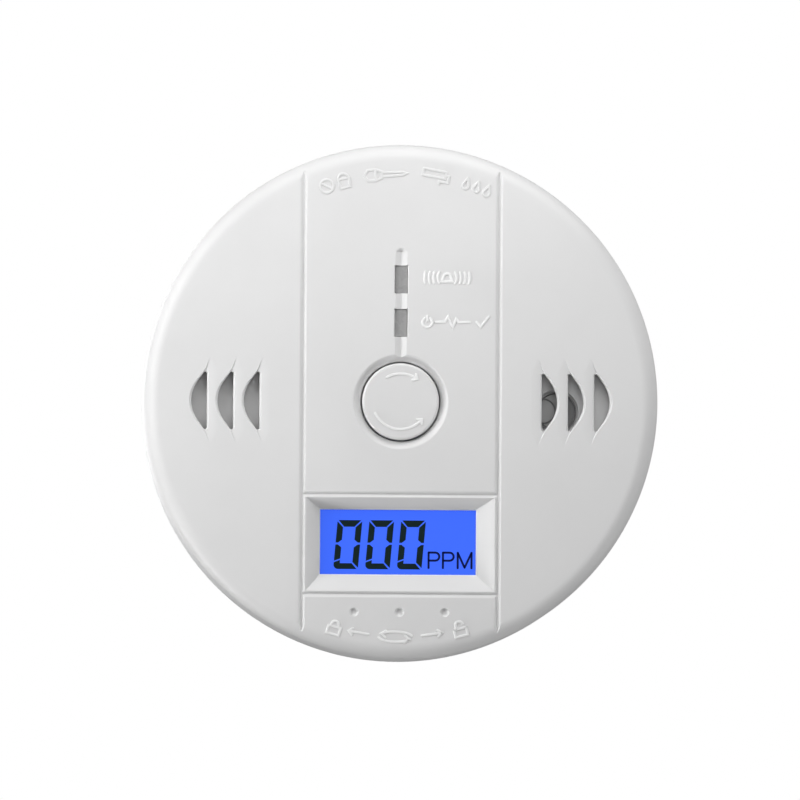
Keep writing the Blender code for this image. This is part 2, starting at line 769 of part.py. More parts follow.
def sounder():
    """A cup with a small outlet in its top. The disc inside it rests under a ledge."""
    ledge = 30 * MM
    cavity_top = SOUNDER_TOP - 1.2 * MM
    cavity_radius = 9 * MM
    seat_radius = 10.3 * MM
    outlet = 1 * MM
    edge = 0.8 * MM
    cup = [
        (outlet, SOUNDER_TOP),
        (SOUNDER_RADIUS - edge, SOUNDER_TOP),
        (SOUNDER_RADIUS, SOUNDER_TOP - edge),
        (SOUNDER_RADIUS, ON_BOARD),
        (seat_radius, ON_BOARD),
        (seat_radius, ledge),
        (cavity_radius, ledge),
        (cavity_radius, cavity_top),
        (outlet, cavity_top),
    ]
    housing = turned("sounder_housing", cup, DETECTOR, closed=True, steps=MIDDLE_STEPS)
    housing.location.x = SOUNDER_X
    finish(housing, (0.45, 0.45, 0.45), 0.5)
    disc_top = ledge - GAP
    disc = cylinder(
        "piezo_disc", 10 * MM, disc_top - 0.4 * MM, disc_top, (SOUNDER_X, 0), DETECTOR, MIDDLE_STEPS
    )
    finish(disc, (0.75, 0.6, 0.28), 0.3, 1.0)


def wire(name, route, radius, colour, roughness, metallic=0.0):
    """A round wire along a list of points."""
    curve = bpy.data.curves.new(name, "CURVE")
    curve.dimensions = "3D"
    curve.bevel_depth = radius
    curve.bevel_resolution = 2
    curve.use_fill_caps = True
    spline = curve.splines.new("POLY")
    spline.points.add(len(route) - 1)
    for point, place in zip(spline.points, route):
        point.co = (*place, 1)
    piece = bpy.data.objects.new(name, curve)
    piece.parent = DETECTOR
    PIECES.objects.link(piece)
    return finish(piece, colour, roughness, metallic)


def sounder_leads():
    """Each lead rises from the foot of the sounder and arches over to its hole in the board."""
    steps = 8
    for name, colour, y in (("red", (0.6, 0.02, 0.02), 10.5 * MM), ("black", (0.02, 0.02, 0.02), 13 * MM)):
        start_x = SOUNDER_X + 9.4 * MM
        end_x = -13.5 * MM
        foot = ON_BOARD + 0.4 * MM
        arch = 3.2 * MM
        route = []
        for i in range(steps + 1):
            along = i / steps
            x = start_x + (end_x - start_x) * along
            route.append((x, y, foot + arch * math.sin(math.pi * along)))
        wire(f"sounder_lead_{name}", route, 0.5 * MM, colour, 0.45)


# ---------------------------------------------------------------------------
# The batteries and their contacts
# ---------------------------------------------------------------------------

# Each cell's row up the bay, and the side that its positive end points to: -1 is left.
CELLS = ((1, CELL_PITCH, -1), (2, 0, 1), (3, -CELL_PITCH, -1))
CONTACT_X = BAY_INSIDE[0] / 2 - GAP
CELL_TIP = CONTACT_X - CONTACT_THICKNESS - GAP


def batteries():
    nub_radius = 2.7 * MM
    nub_height = 1.4 * MM
    edge = 0.6 * MM
    shoulder = CELL_LENGTH - nub_height
    profile = [
        (0, CELL_LENGTH),
        (nub_radius, CELL_LENGTH),
        (nub_radius, shoulder),
        (CELL_RADIUS - edge, shoulder),
        (CELL_RADIUS, shoulder - edge),
        (CELL_RADIUS, edge),
        (CELL_RADIUS - edge, 0),
        (0, 0),
    ]
    for number, y, side in CELLS:
        cell = turned(f"battery_{number}", profile, DETECTOR, steps=24)
        cell.location = (side * (CELL_TIP - CELL_LENGTH), y, CELL_Z)
        cell.rotation_euler.y = side * math.radians(90)
        finish(cell, (0.1, 0.1, 0.12), 0.3, 0.3)


def battery_springs():
    """A coil at the flat end of each cell, narrowing towards the cell."""
    turns = 3
    steps_per_turn = 8
    wire_radius = 0.35 * MM
    for number, y, side in CELLS:
        near = CELL_TIP - CELL_LENGTH - wire_radius - GAP
        far = -(CONTACT_X - CONTACT_THICKNESS - wire_radius - GAP)
        count = turns * steps_per_turn
        route = []
        for i in range(count + 1):
            along = i / count
            angle = 2 * math.pi * i / steps_per_turn
            radius = (4.4 - 1.6 * along) * MM
            x = side * (far + (near - far) * along)
            route.append((x, y + radius * math.cos(angle), CELL_Z + radius * math.sin(angle)))
        wire(f"battery_spring_{number}", route, wire_radius, (0.7, 0.7, 0.7), 0.25, 1.0)


def contacts():
    """Flat plates at the bay's ends. Two bridge neighbouring cells, and two have tails to the board."""
    centre_x = CONTACT_X - CONTACT_THICKNESS / 2
    low = CELL_Z - CONTACT_HEIGHT / 2
    high = CELL_Z + CONTACT_HEIGHT / 2
    nickel = ((0.65, 0.63, 0.58), 0.25, 1.0)
    for name, side, y in (("positive", -1, CELL_PITCH), ("negative", 1, -CELL_PITCH)):
        at = (side * centre_x, y)
        plate = block(
            f"contact_{name}", (CONTACT_THICKNESS, CONTACT_WIDTH), at, low, high, DETECTOR
        )
        join(plate, block(f"{name}_tail", (CONTACT_THICKNESS, 2 * MM), at, high - 1 * MM, 26.6 * MM))
        finish(plate, *nickel)
    for name, side, y in (("right", 1, CELL_PITCH / 2), ("left", -1, -CELL_PITCH / 2)):
        bridge = block(
            f"contact_bridge_{name}",
            (CONTACT_THICKNESS, CELL_PITCH + CONTACT_WIDTH),
            (side * centre_x, y),
            low,
            high,
            DETECTOR,
        )
        finish(bridge, *nickel)


# ---------------------------------------------------------------------------
# The screws
# ---------------------------------------------------------------------------


def screw_mesh(name, head_radius, head_height, shank_radius, length):
    """A pan-head screw with a cross recess, head down, from its head's face at 0 up to its tip."""
    edge = 0.35 * MM
    taper = 0.8 * MM
    profile = [
        (0, length),
        (shank_radius - 0.5 * MM, length),
        (shank_radius, length - taper),
        (shank_radius, head_height),
        (head_radius, head_height),
        (head_radius, edge),
        (head_radius - edge, 0),
        (0, 0),
    ]
    blank = turned(name, profile, steps=12)
    bar = (head_radius * 1.1, 0.6 * MM)
    depth = 0.9 * MM
    cut(blank, block(f"{name}_level", bar, (0, 0), -1 * MM, depth))
    cut(blank, block(f"{name}_upright", bar[::-1], (0, 0), -1 * MM, depth))
    graph = bpy.context.evaluated_depsgraph_get()
    return bpy.data.meshes.new_from_object(blank.evaluated_get(graph))


def screws(name, mesh, places, head_z):
    steel = new_material(name, (0.6, 0.6, 0.6), 0.3, 1.0)
    mesh.materials.append(steel)
    mesh.shade_smooth()
    mesh.set_sharp_from_angle(angle=math.radians(35))
    for number, at in enumerate(places, 1):
        add_object(f"{name}_{number}", mesh, DETECTOR).location = (*at, head_z)


def all_screws():
    case_head = 1.8 * MM
    case_mesh = screw_mesh("case_screw", 2.5 * MM, case_head, 1.3 * MM, 22 * MM)
    screws("case_screw", case_mesh, CASE_SCREWS, CASE_SCREW_SEAT - GAP - case_head)
    board_head = 1.4 * MM
    board_mesh = screw_mesh("pcb_screw", 2.2 * MM, board_head, 1 * MM, 8 * MM)
    screws("pcb_screw", board_mesh, BOARD_SCREWS, BOARD_LOW - GAP - board_head)


mounting_base()
rear_housing()
front_cover()
test_button()
test_switch()
for lamp_name, lamp_y in LAMP_Y.items():
    lamp(lamp_name, lamp_y)
display()
main_pcb()
board_parts()
co_sensor()
sounder()
sounder_leads()
batteries()
battery_springs()
contacts()
all_screws()
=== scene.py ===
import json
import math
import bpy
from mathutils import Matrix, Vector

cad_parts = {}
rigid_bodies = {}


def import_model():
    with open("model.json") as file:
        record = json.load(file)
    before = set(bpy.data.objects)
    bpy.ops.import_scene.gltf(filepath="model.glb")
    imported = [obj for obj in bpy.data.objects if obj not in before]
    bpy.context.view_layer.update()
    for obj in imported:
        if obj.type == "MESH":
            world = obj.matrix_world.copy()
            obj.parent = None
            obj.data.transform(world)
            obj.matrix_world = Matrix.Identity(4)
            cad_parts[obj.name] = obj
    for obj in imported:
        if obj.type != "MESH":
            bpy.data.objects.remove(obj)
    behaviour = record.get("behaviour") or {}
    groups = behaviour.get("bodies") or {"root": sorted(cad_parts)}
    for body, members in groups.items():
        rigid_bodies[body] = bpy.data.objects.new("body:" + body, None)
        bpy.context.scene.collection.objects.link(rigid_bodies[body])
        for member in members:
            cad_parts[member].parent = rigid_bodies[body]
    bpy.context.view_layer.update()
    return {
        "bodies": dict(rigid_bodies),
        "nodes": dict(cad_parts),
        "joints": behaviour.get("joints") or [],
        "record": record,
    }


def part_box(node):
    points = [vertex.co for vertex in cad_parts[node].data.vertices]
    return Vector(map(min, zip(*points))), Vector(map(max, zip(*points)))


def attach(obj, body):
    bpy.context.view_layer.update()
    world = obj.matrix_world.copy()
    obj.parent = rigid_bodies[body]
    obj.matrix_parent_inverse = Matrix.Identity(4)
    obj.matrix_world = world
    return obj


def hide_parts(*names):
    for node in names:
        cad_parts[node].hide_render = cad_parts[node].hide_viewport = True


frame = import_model()

# The looks of a round carbon monoxide detector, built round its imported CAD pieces.
#
# Every piece is modelled on a bench, lying on its back, in millimetres: X to the right, Y up the
# face, and Z from the wall (0) out to the front. show() then stands it upright, in metres, in place
# of its CAD node.

from types import SimpleNamespace

import bmesh
import bpy
from mathutils import Matrix, Quaternion, Vector

BENCH_TO_WORLD = Matrix.Rotation(math.radians(90), 4, "X") @ Matrix.Scale(0.001, 4)

RECORD = frame["record"]
SLOT_OF = {subpart["node"]: subpart["material_slot"] for subpart in RECORD["subparts"]}
BODY_OF = {node: body for body, nodes in RECORD["behaviour"]["bodies"].items() for node in nodes}


def place(node):
    """Where a CAD node is on the bench: its centre and size seen from the front, and how far from
    the wall its back and its front are."""
    low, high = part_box(node)
    x = 500 * (low.x + high.x)
    y = 500 * (low.z + high.z)
    width = 1000 * (high.x - low.x)
    height = 1000 * (high.z - low.z)
    return SimpleNamespace(
        x=x,
        y=y,
        at=(x, y),
        width=width,
        radius=width / 2,
        height=height,
        size=(width, height),
        back=-1000 * high.y,
        front=-1000 * low.y,
    )


COVER = place("front_cover")
BASE = place("mounting_base")
BUTTON = place("test_button")
GLASS = place("lcd_glass")
SENSOR = place("co_sensor_body")
FILTER = place("co_sensor_filter")
SOUNDER = place("sounder_housing")
LAMPS = {name: place(f"{name}_light_pipe") for name in ("alarm", "operate")}
CASE_RADIUS = COVER.radius

# Raised marks stand up to the CAD's own front, so the face itself lies a little lower.
RELIEF = 0.2
FACE = COVER.front - RELIEF
WALL = 2.0
FLANK_INNER = CASE_RADIUS - WALL


# --- Outlines ---


def on_circle(centre, radius, angle):
    turn = math.radians(angle)
    return (centre[0] + radius * math.cos(turn), centre[1] + radius * math.sin(turn))


def arc(centre, radius, start, end, steps):
    """Points along an arc, with its angles in degrees."""
    return [on_circle(centre, radius, start + (end - start) * i / steps) for i in range(steps + 1)]


def top_edge(radius, height, edge, steps):
    """A turned profile's rounded edge at its front, from the front round to the side."""
    return arc((radius - edge, height - edge), edge, 90, 0, steps)


def foot_edge(radius, height, edge, steps):
    """A turned profile's rounded edge at its back, from the side round to the back."""
    return arc((radius - edge, height + edge), edge, 0, -90, steps)


def grown(size, by):
    return (size[0] + by, size[1] + by)


def rounded_rectangle(size, centre, radius, steps=5):
    """The corners' arcs run on from each other, so that the outline goes once round."""
    across = size[0] / 2 - radius
    up = size[1] / 2 - radius
    outline = []
    for corner, (sx, sy) in enumerate(((1, 1), (-1, 1), (-1, -1), (1, -1))):
        middle = (centre[0] + sx * across, centre[1] + sy * up)
        outline += arc(middle, radius, 90 * corner, 90 * corner + 90, steps)
    return outline


def stroke_outline(path, half_width, steps=6):
    """The outline of a pen line along a path, with round ends."""
    points = [Vector(point) for point in path]
    ahead = [(b - a).normalized() for a, b in zip(points, points[1:])]
    left = []
    right = []
    for i in range(1, len(points) - 1):
        across = (ahead[i - 1] + ahead[i]).normalized()
        normal = Vector((-across.y, across.x))
        reach = half_width / max(0.4, normal.dot(Vector((-ahead[i].y, ahead[i].x))))
        left.append(tuple(points[i] + normal * reach))
        right.append(tuple(points[i] - normal * reach))
    start = math.degrees(math.atan2(ahead[0].y, ahead[0].x))
    end = math.degrees(math.atan2(ahead[-1].y, ahead[-1].x))
    tail = arc(points[0], half_width, start + 90, start + 270, steps)
    tip = arc(points[-1], half_width, end - 90, end + 90, steps)
    return tail + right + tip + left[::-1]


# --- Solids ---


def new_object(name, data):
    made = bpy.data.objects.new(name, data)
    bpy.context.scene.collection.objects.link(made)
    return made


def object_from(name, vertices, faces):
    mesh = bpy.data.meshes.new(name)
    mesh.from_pydata(vertices, [], faces)
    work = bmesh.new()
    work.from_mesh(mesh)
    bmesh.ops.recalc_face_normals(work, faces=work.faces)
    work.to_mesh(mesh)
    work.free()
    return new_object(name, mesh)


def loft(name, rings):
    """A closed solid through rings of equally many points."""
    count = len(rings[0])
    vertices = [point for ring in rings for point in ring]
    faces = [tuple(range(count)), tuple(range(len(vertices) - count, len(vertices)))]
    for i in range(len(rings) - 1):
        near = i * count
        far = near + count
        for k in range(count):
            after = (k + 1) % count
            faces.append((near + k, near + after, far + after, far + k))
    return object_from(name, vertices, faces)


def flat_solid(name, outline, low, high):
    return loft(name, [[(x, y, low) for x, y in outline], [(x, y, high) for x, y in outline]])


def layered(name, outline, levels):
    """A solid whose section is outline(grow) at each (grow, height) level."""
    return loft(name, [[(x, y, height) for x, y in outline(grow)] for grow, height in levels])


def rounded_levels(low, high, edge, steps=4):
    """Levels from low to high, with both edges rounded."""
    turns = [math.radians(90 * i / steps) for i in range(steps + 1)]
    rise = [(edge * (math.sin(turn) - 1), edge * (1 - math.cos(turn))) for turn in turns]
    return [(grow, low + up) for grow, up in rise] + [(grow, high - up) for grow, up in reversed(rise)]


def rounded_block(name, size, centre, low, high, corner=0.5, edge=0.2):
    def outline(grow):
        return rounded_rectangle(grown(size, 2 * grow), centre, max(corner + grow, 0.02))

    return layered(name, outline, rounded_levels(low, high, edge))


def turned(name, profile, steps=96, loop=False, at=(0, 0)):
    """A turned solid. The profile is (radius, height) pairs, and a point on the axis is a pole."""
    vertices = []
    rings = []
    for radius, height in profile:
        start = len(vertices)
        if radius < 1e-6:
            vertices.append((*at, height))
        else:
            vertices += [(*on_circle(at, radius, 360 * k / steps), height) for k in range(steps)]
        rings.append(range(start, len(vertices)))
    pairs = list(zip(rings, rings[1:]))
    if loop:
        pairs.append((rings[-1], rings[0]))
    faces = []
    for near, far in pairs:
        for k in range(steps):
            after = (k + 1) % steps
            corners = (near[k % len(near)], near[after % len(near)])
            corners += (far[after % len(far)], far[k % len(far)])
            faces.append(tuple(dict.fromkeys(corners)))
    return object_from(name, vertices, faces)


def cylinder(name, radius, low, high, at=(0, 0), steps=32, edge=0.0):
    rim = [(radius, high), (radius, low)]
    if edge:
        rim = [(radius - edge, high), (radius, high - edge), (radius, low + edge), (radius - edge, low)]
    return turned(name, [(0, high), *rim, (0, low)], steps, at=at)


def sector(name, inner, outer, start, end, low, high, edge=0.15, steps=10):
    """Part of a flat ring, with its long edges rounded."""

    def outline(grow):
        return arc((0, 0), outer + grow, start, end, steps) + arc((0, 0), inner - grow, end, start, steps)

    return layered(name, outline, rounded_levels(low, high, edge, 2))


def tube(name, route, radius, sides=10):
    """A round wire along a route of points, with flat ends."""
    points = [Vector(point) for point in route]
    rings = []
    side = None
    for i, point in enumerate(points):
        ahead = (points[min(i + 1, len(points) - 1)] - points[max(i - 1, 0)]).normalized()
        if side is None:
            side = ahead.orthogonal().normalized()
        side = (side - ahead * side.dot(ahead)).normalized()
        up = ahead.cross(side)
        turns = [math.radians(360 * k / sides) for k in range(sides)]
        rings.append([tuple(point + radius * (side * math.cos(a) + up * math.sin(a))) for a in turns])
    return loft(name, rings)


def merged(name, parts):
    """Several solids as one object."""
    work = bmesh.new()
    for part in parts:
        work.from_mesh(part.data)
        bpy.data.objects.remove(part)
    mesh = bpy.data.meshes.new(name)
    work.to_mesh(mesh)
    work.free()
    return new_object(name, mesh)


def cylinders(name, radius, low, high, spots, **more):
    """Equal cylinders on the centres of several places, as one object."""
    return merged(name, [cylinder(name, radius, low, high, spot.at, **more) for spot in spots])


def boolean(piece, operation, tools):
    """Joins or cuts, one tool after another. The tools are used up."""
    for tool in tools:
        modifier = piece.modifiers.new(tool.name, "BOOLEAN")
        modifier.operation = operation
        modifier.solver = "EXACT"
        modifier.object = tool
    graph = bpy.context.evaluated_depsgraph_get()
    mesh = bpy.data.meshes.new_from_object(piece.evaluated_get(graph))
    piece.modifiers.clear()
    piece.data = mesh
    for tool in tools:
        bpy.data.objects.remove(tool)
    return piece


def cut(piece, *tools):
    return boolean(piece, "DIFFERENCE", tools)


def join(piece, *tools):
    return boolean(piece, "UNION", tools)


def show(piece, node, sharp=32, level=None):
    """Stands a finished piece upright, in its CAD node's place. A broad flat face at the height
    given is shaded flat, so that its long thin facets don't pick up shade from what is cut in it."""
    mesh = piece.data
    mesh.materials.clear()
    mesh.materials.append(MATERIALS[SLOT_OF[node]])
    mesh.shade_smooth()
    mesh.set_sharp_from_angle(angle=math.radians(sharp))
    if level is not None:
        for face in mesh.polygons:
            if all(abs(mesh.vertices[i].co.z - level) < 0.0005 for i in face.vertices):
                face.use_smooth = False
    mesh.transform(BENCH_TO_WORLD)
    weighted = piece.modifiers.new("even_shading", "WEIGHTED_NORMAL")
    weighted.keep_sharp = True
    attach(piece, BODY_OF[node])
    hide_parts(node)
    return piece


def paint(piece, finish, chosen):
    """Gives a shown piece's faces whose middles, on the bench, are chosen a finish of their own."""
    piece.data.materials.append(MATERIALS[finish])
    index = len(piece.data.materials) - 1
    to_bench = BENCH_TO_WORLD.inverted()
    for face in piece.data.polygons:
        if chosen(to_bench @ face.center):
            face.material_index = index


def off_axis(point, at):
    return math.hypot(point.x - at[0], point.y - at[1])


# --- Materials ---


def new_material(name):
    material = bpy.data.materials.new(name)
    material.use_nodes = True
    tree = material.node_tree
    return material, tree, tree.nodes["Principled BSDF"]


def feed(tree, node, inputs):
    """Gives each input of a node a value, or the output of another node."""
    for name, value in inputs.items():
        if isinstance(value, bpy.types.NodeSocket):
            tree.links.new(value, node.inputs[name])
        else:
            node.inputs[name].default_value = value


def add_node(tree, kind, inputs, output):
    node = tree.nodes.new(f"ShaderNode{kind}")
    feed(tree, node, inputs)
    return node.outputs[output]


def noise(tree, scale, detail=3.0, stretch=None):
    """Noise in the piece's own space. The scale is in cycles a metre."""
    space = add_node(tree, "TexCoord", {}, "Object")
    if stretch:
        space = add_node(tree, "Mapping", {"Vector": space, "Scale": stretch}, "Vector")
    return add_node(tree, "TexNoise", {"Vector": space, "Scale": scale, "Detail": detail}, "Fac")


def spread(tree, source, low, high):
    """Takes noise to a range of values."""
    inputs = {"Value": source, "From Min": 0.3, "From Max": 0.7, "To Min": low, "To Max": high}
    return add_node(tree, "MapRange", inputs, "Result")


def fade(tree, vector, axis, start, end, strength=1.0):
    """Rises smoothly from nothing to its strength along an axis of a vector."""
    node = tree.nodes.new("ShaderNodeMapRange")
    node.interpolation_type = "SMOOTHSTEP"
    part = add_node(tree, "SeparateXYZ", {"Vector": vector}, axis)
    feed(tree, node, {"Value": part, "From Min": start, "From Max": end, "To Max": strength})
    return node.outputs["Result"]


def mottle(tree, source, dark, light, start=0.3, end=0.7):
    """Takes noise, or another value, to a range of colours."""
    ramp = tree.nodes.new("ShaderNodeValToRGB")
    for stop, position, colour in zip(ramp.color_ramp.elements, (start, end), (dark, light)):
        stop.position = position
        stop.color = (*colour, 1)
    feed(tree, ramp, {"Fac": source})
    return ramp.outputs["Color"]


def bump(tree, source, distance, strength):
    inputs = {"Height": source, "Distance": distance, "Strength": strength}
    return add_node(tree, "Bump", inputs, "Normal")


def shaded(colour, factor):
    return tuple(channel * factor for channel in colour)


def moulded(name, colour, roughness, grain=0.25, depth=0.00001, metallic=0.0):
    """Moulded plastic: a fine spark-eroded grain, with slow drifts of colour and gloss."""
    material, tree, shader = new_material(name)
    feed(tree, shader, {
        "Base Color": mottle(tree, noise(tree, 60), shaded(colour, 0.975), shaded(colour, 1.01)),
        "Roughness": spread(tree, noise(tree, 400), roughness - 0.03, roughness + 0.03),
        "Normal": bump(tree, noise(tree, 4200, 4.0), depth, grain),
        "Metallic": metallic,
    })
    return material


def smoked(name):
    """Smoked acrylic, with the faint upright streaks of its moulding."""
    material, tree, shader = new_material(name)
    feed(tree, shader, {
        "Base Color": mottle(tree, noise(tree, 900, 2.0, (1, 1, 0.12)), (0.35,) * 3, (0.4,) * 3),
        "Roughness": spread(tree, noise(tree, 500), 0.22, 0.32),
        "Coat Weight": 0.3,
    })
    return material


def glowing(name, colour, glow):
    """The lit panel behind the display's glass, a little dimmer towards its left end."""
    material, tree, shader = new_material(name)
    space = add_node(tree, "TexCoord", {}, "Object")
    across = fade(tree, space, "X", (GLASS.x - 17) / 1000, (GLASS.x - 9) / 1000)
    feed(tree, shader, {
        "Emission Color": mottle(tree, across, shaded(colour, 0.93), colour, 0, 1),
        "Emission Strength": glow,
        "Base Color": (*shaded(colour, 0.25), 1),
        "Roughness": spread(tree, noise(tree, 700), 0.3, 0.36),
    })
    return material


def ink(name, colour):
    """A dark segment of the display."""
    material, tree, shader = new_material(name)
    feed(tree, shader, {
        "Base Color": mottle(tree, noise(tree, 500), shaded(colour, 0.9), shaded(colour, 1.1)),
        "Emission Color": mottle(tree, noise(tree, 500), shaded(colour, 0.5), shaded(colour, 0.7)),
        "Emission Strength": 1.0,
        "Roughness": 0.4,
        "Specular IOR Level": 0.2,
    })
    return material


def metal(name, colour, roughness, streaks=(1, 1, 1)):
    """Plated metal with fine drawing marks."""
    material, tree, shader = new_material(name)
    lines = noise(tree, 2500, 3.0, streaks)
    feed(tree, shader, {
        "Base Color": mottle(tree, lines, shaded(colour, 0.9), colour),
        "Roughness": spread(tree, lines, roughness - 0.06, roughness + 0.06),
        "Normal": bump(tree, lines, 0.00001, 0.3),
        "Metallic": 1.0,
    })
    return material


def circuit_board(name):
    """Green solder mask over a faint net of tracks."""
    material, tree, shader = new_material(name)
    tracks = tree.nodes.new("ShaderNodeTexBrick")
    feed(tree, tracks, {
        "Vector": add_node(tree, "TexCoord", {}, "Object"),
        "Scale": 160,
        "Mortar Size": 0.03,
        "Color1": (0.012, 0.11, 0.04, 1),
        "Color2": (0.015, 0.13, 0.045, 1),
        "Mortar": (0.03, 0.2, 0.08, 1),
    })
    feed(tree, shader, {
        "Base Color": tracks.outputs["Color"],
        "Normal": bump(tree, tracks.outputs["Fac"], 0.00003, 0.4),
        "Roughness": spread(tree, noise(tree, 500), 0.28, 0.38),
    })
    return material


# Each finish: its colour and its roughness, then what differs from the usual grain.
MOULDED = {
    "cover_white": ((0.8, 0.8, 0.8), 0.5),
    "rear_white": ((0.78, 0.78, 0.78), 0.45, 0.35),
    "base_white": ((0.76, 0.76, 0.755), 0.48, 0.4),
    "button_white": ((0.8, 0.8, 0.8), 0.38, 0.15),
    "lamp_clear": ((0.75, 0.75, 0.7), 0.15, 0.05),
    "display_frame": ((0.72, 0.72, 0.7), 0.5),
    "light_guide": ((0.82, 0.86, 0.92), 0.25, 0.1),
    "connector_rubber": ((0.45, 0.16, 0.2), 0.8, 0.5),
    "part_black": ((0.03, 0.03, 0.03), 0.45, 0.5),
    "switch_black": ((0.03, 0.03, 0.03), 0.4, 0.3),
    "capacitor_sleeve": ((0.05, 0.06, 0.12), 0.35, 0.1),
    "sensor_grey": ((0.7, 0.7, 0.7), 0.5, 0.4),
    "sensor_filter": ((0.22, 0.22, 0.22), 0.85, 1.0, 0.00003),
    "sounder_grey": ((0.58, 0.58, 0.58), 0.5, 0.4),
    "lead_red": ((0.55, 0.02, 0.02), 0.45, 0.1),
    "lead_black": ((0.02, 0.02, 0.02), 0.45, 0.1),
    "cell_wrap": ((0.12, 0.12, 0.14), 0.3, 0.1, 0.00001, 0.3),
    # highlight_white is a painted highlight: a whiter finish for the tops of raised marks and the display
    # window's lip, where they catch the light.
    "highlight_white": ((0.94, 0.94, 0.94), 0.4, 0.1),
    "ceramic": ((0.78, 0.74, 0.66), 0.45, 0.2),
    "carbon": ((0.04, 0.04, 0.04), 0.7, 0.4),
    # filter_lit_side is painted light: a lighter grey for the left part of the sensor's filter, where
    # light falls on it from the left.
    "filter_lit_side": ((0.36, 0.36, 0.36), 0.7, 0.8, 0.00002),
}
METALS = {
    "piezo_brass": ((0.75, 0.58, 0.27), 0.3),
    "contact_nickel": ((0.66, 0.64, 0.6), 0.28, (1, 1, 0.1)),
    "spring_steel": ((0.68, 0.68, 0.68), 0.25, (0.1, 1, 1)),
    "screw_steel": ((0.6, 0.6, 0.6), 0.32),
    "tin": ((0.74, 0.74, 0.72), 0.35),
    "copper": ((0.7, 0.34, 0.16), 0.32),
}
MATERIALS = {name: moulded(name, *finish) for name, finish in MOULDED.items()}
MATERIALS |= {name: metal(name, *finish) for name, finish in METALS.items()}
MATERIALS["smoked_window"] = smoked("smoked_window")
MATERIALS["display_glass"] = glowing("display_glass", (0.045, 0.145, 1.0), 0.85)
MATERIALS["board_green"] = circuit_board("board_green")


# --- Raised marks ---

MARK_HALF_WIDTH = 0.24
MARK_ROOT = 0.15
UPPER_MARKS = 44.2


def raised(name, path, top, half_width=MARK_HALF_WIDTH):
    """A pen line that stands up from the face with soft shoulders."""
    soft = 0.6 * half_width
    levels = [(0, top - RELIEF - MARK_ROOT), (0, top - 0.6 * RELIEF), (-0.3 * soft, top - 0.2 * RELIEF)]
    levels.append((-soft, top))
    return layered(name, lambda grow: stroke_outline(path, half_width + grow), levels)


def moved(paths, centre, turn=0.0):
    """Paths drawn round the origin, turned and put at a place on the face."""
    cos = math.cos(math.radians(turn))
    sin = math.sin(math.radians(turn))
    return [
        [(centre[0] + x * cos - y * sin, centre[1] + x * sin + y * cos) for x, y in path] for path in paths
    ]


def on_arc(paths, radius, angle):
    """Paths drawn upright, put on a big arc of the face with their foot towards its middle."""
    return moved(paths, on_circle((0, 0), radius, angle), angle - 90)


def under_arc(paths, radius, angle):
    """Paths on the lower half of the face, with their foot towards the rim."""
    return moved(paths, on_circle((0, 0), radius, angle), angle + 90)


def crossed_ring_mark():
    """A ring with a stroke across it."""
    stroke = [on_circle((0, 0), 1.3, 135), on_circle((0, 0), 1.3, -45)]
    return [arc((0, 0), 1.3, 0, 180, 10), arc((0, 0), 1.3, 180, 360, 10), stroke]


def pot_mark():
    """A pot with a handle."""
    sides = [(-1.1, 0.5), (-0.9, -1.3), (0.9, -1.3), (1.1, 0.5)]
    handle = arc((0, 0.5), 1.0, 165, 15, 8)
    return [sides, [(-1.1, 0.5), (1.1, 0.5)], handle]


def brush_mark():
    """A flat paint brush."""
    bristles = [(-2.0, 1.1), (-3.6, 1.0), (-4.3, 0), (-3.6, -1.0), (-2.0, -1.1)]
    ferrule = [(-2.0, 1.1), (-0.8, 0.6), (-0.8, -0.6), (-2.0, -1.1)]
    handle = [(-0.8, 0.4), (3.3, 0.3), (3.9, 0), (3.3, -0.3), (-0.8, -0.4)]
    return [bristles, [(-2.0, 1.1), (-2.0, -1.1)], ferrule, handle]


def roller_mark():
    """A paint roller."""
    sleeve = [(-4.0, 1.2), (-4.0, -0.1), (0.4, -0.1), (0.4, 1.2)]
    frame = [(0.4, 0.55), (1.1, 0.55), (1.1, -0.8), (-0.6, -0.8), (-0.6, -1.3)]
    return [sleeve, [(-4.0, 1.2), (0.4, 1.2)], frame]


def drop_mark():
    return [[(0, 1.1), (-0.62, -0.2), *arc((0, -0.42), 0.62, 180, 360, 8)], [(0.62, -0.2), (0, 1.1)]]


def bell_mark():
    """A bell with sound on both sides."""
    skirt = [(-1.05, -0.75), *arc((0, 0.1), 0.72, 180, 0, 8), (1.05, -0.75)]
    bar = [(-1.15, -0.75), (1.15, -0.75)]
    paths = [skirt, bar]
    for wave in range(4):
        radius = 1.85 + 0.85 * wave
        half = math.degrees(math.asin(1.05 / radius))
        paths.append(arc((0, 0), radius, -half, half, 6))
        paths.append(arc((0, 0), radius, 180 - half, 180 + half, 6))
    return paths


def pulse_mark():
    """A power symbol, a steady pulse and a tick."""
    ring = arc((-5.5, -0.05), 0.95, 125, 415, 16)
    bar = [(-5.5, 0.2), (-5.5, 1.15)]
    pulse = [(-3.9, 0), (-2.1, 0), (-1.5, 1.0), (-0.6, -1.0), (0.1, 0.6), (0.5, 0), (2.7, 0)]
    tick = [(4.1, 0.05), (4.8, -0.95), (6.4, 1.1)]
    return [ring, bar, pulse, tick]


def padlock_mark(is_open):
    sides = [(-1.2, 0.25), (-1.2, -1.25), (1.2, -1.25), (1.2, 0.25)]
    lift = 0.3 if is_open else 0.0
    shackle = [(-0.7, 0.25), *arc((0, 0.65 + lift), 0.7, 180, 0, 8)]
    if not is_open:
        shackle.append((0.7, 0.25))
    return [sides, [(-1.2, 0.25), (1.2, 0.25)], shackle]


def arrow_mark(length, points_left):
    """A straight arrow along X."""
    tip = length / 2
    head = 0.75
    paths = [[(-tip, 0), (tip, 0)], [(tip - head, 0.6), (tip, 0), (tip - head, -0.6)]]
    if points_left:
        paths = [[(-x, y) for x, y in path] for path in paths]
    return paths


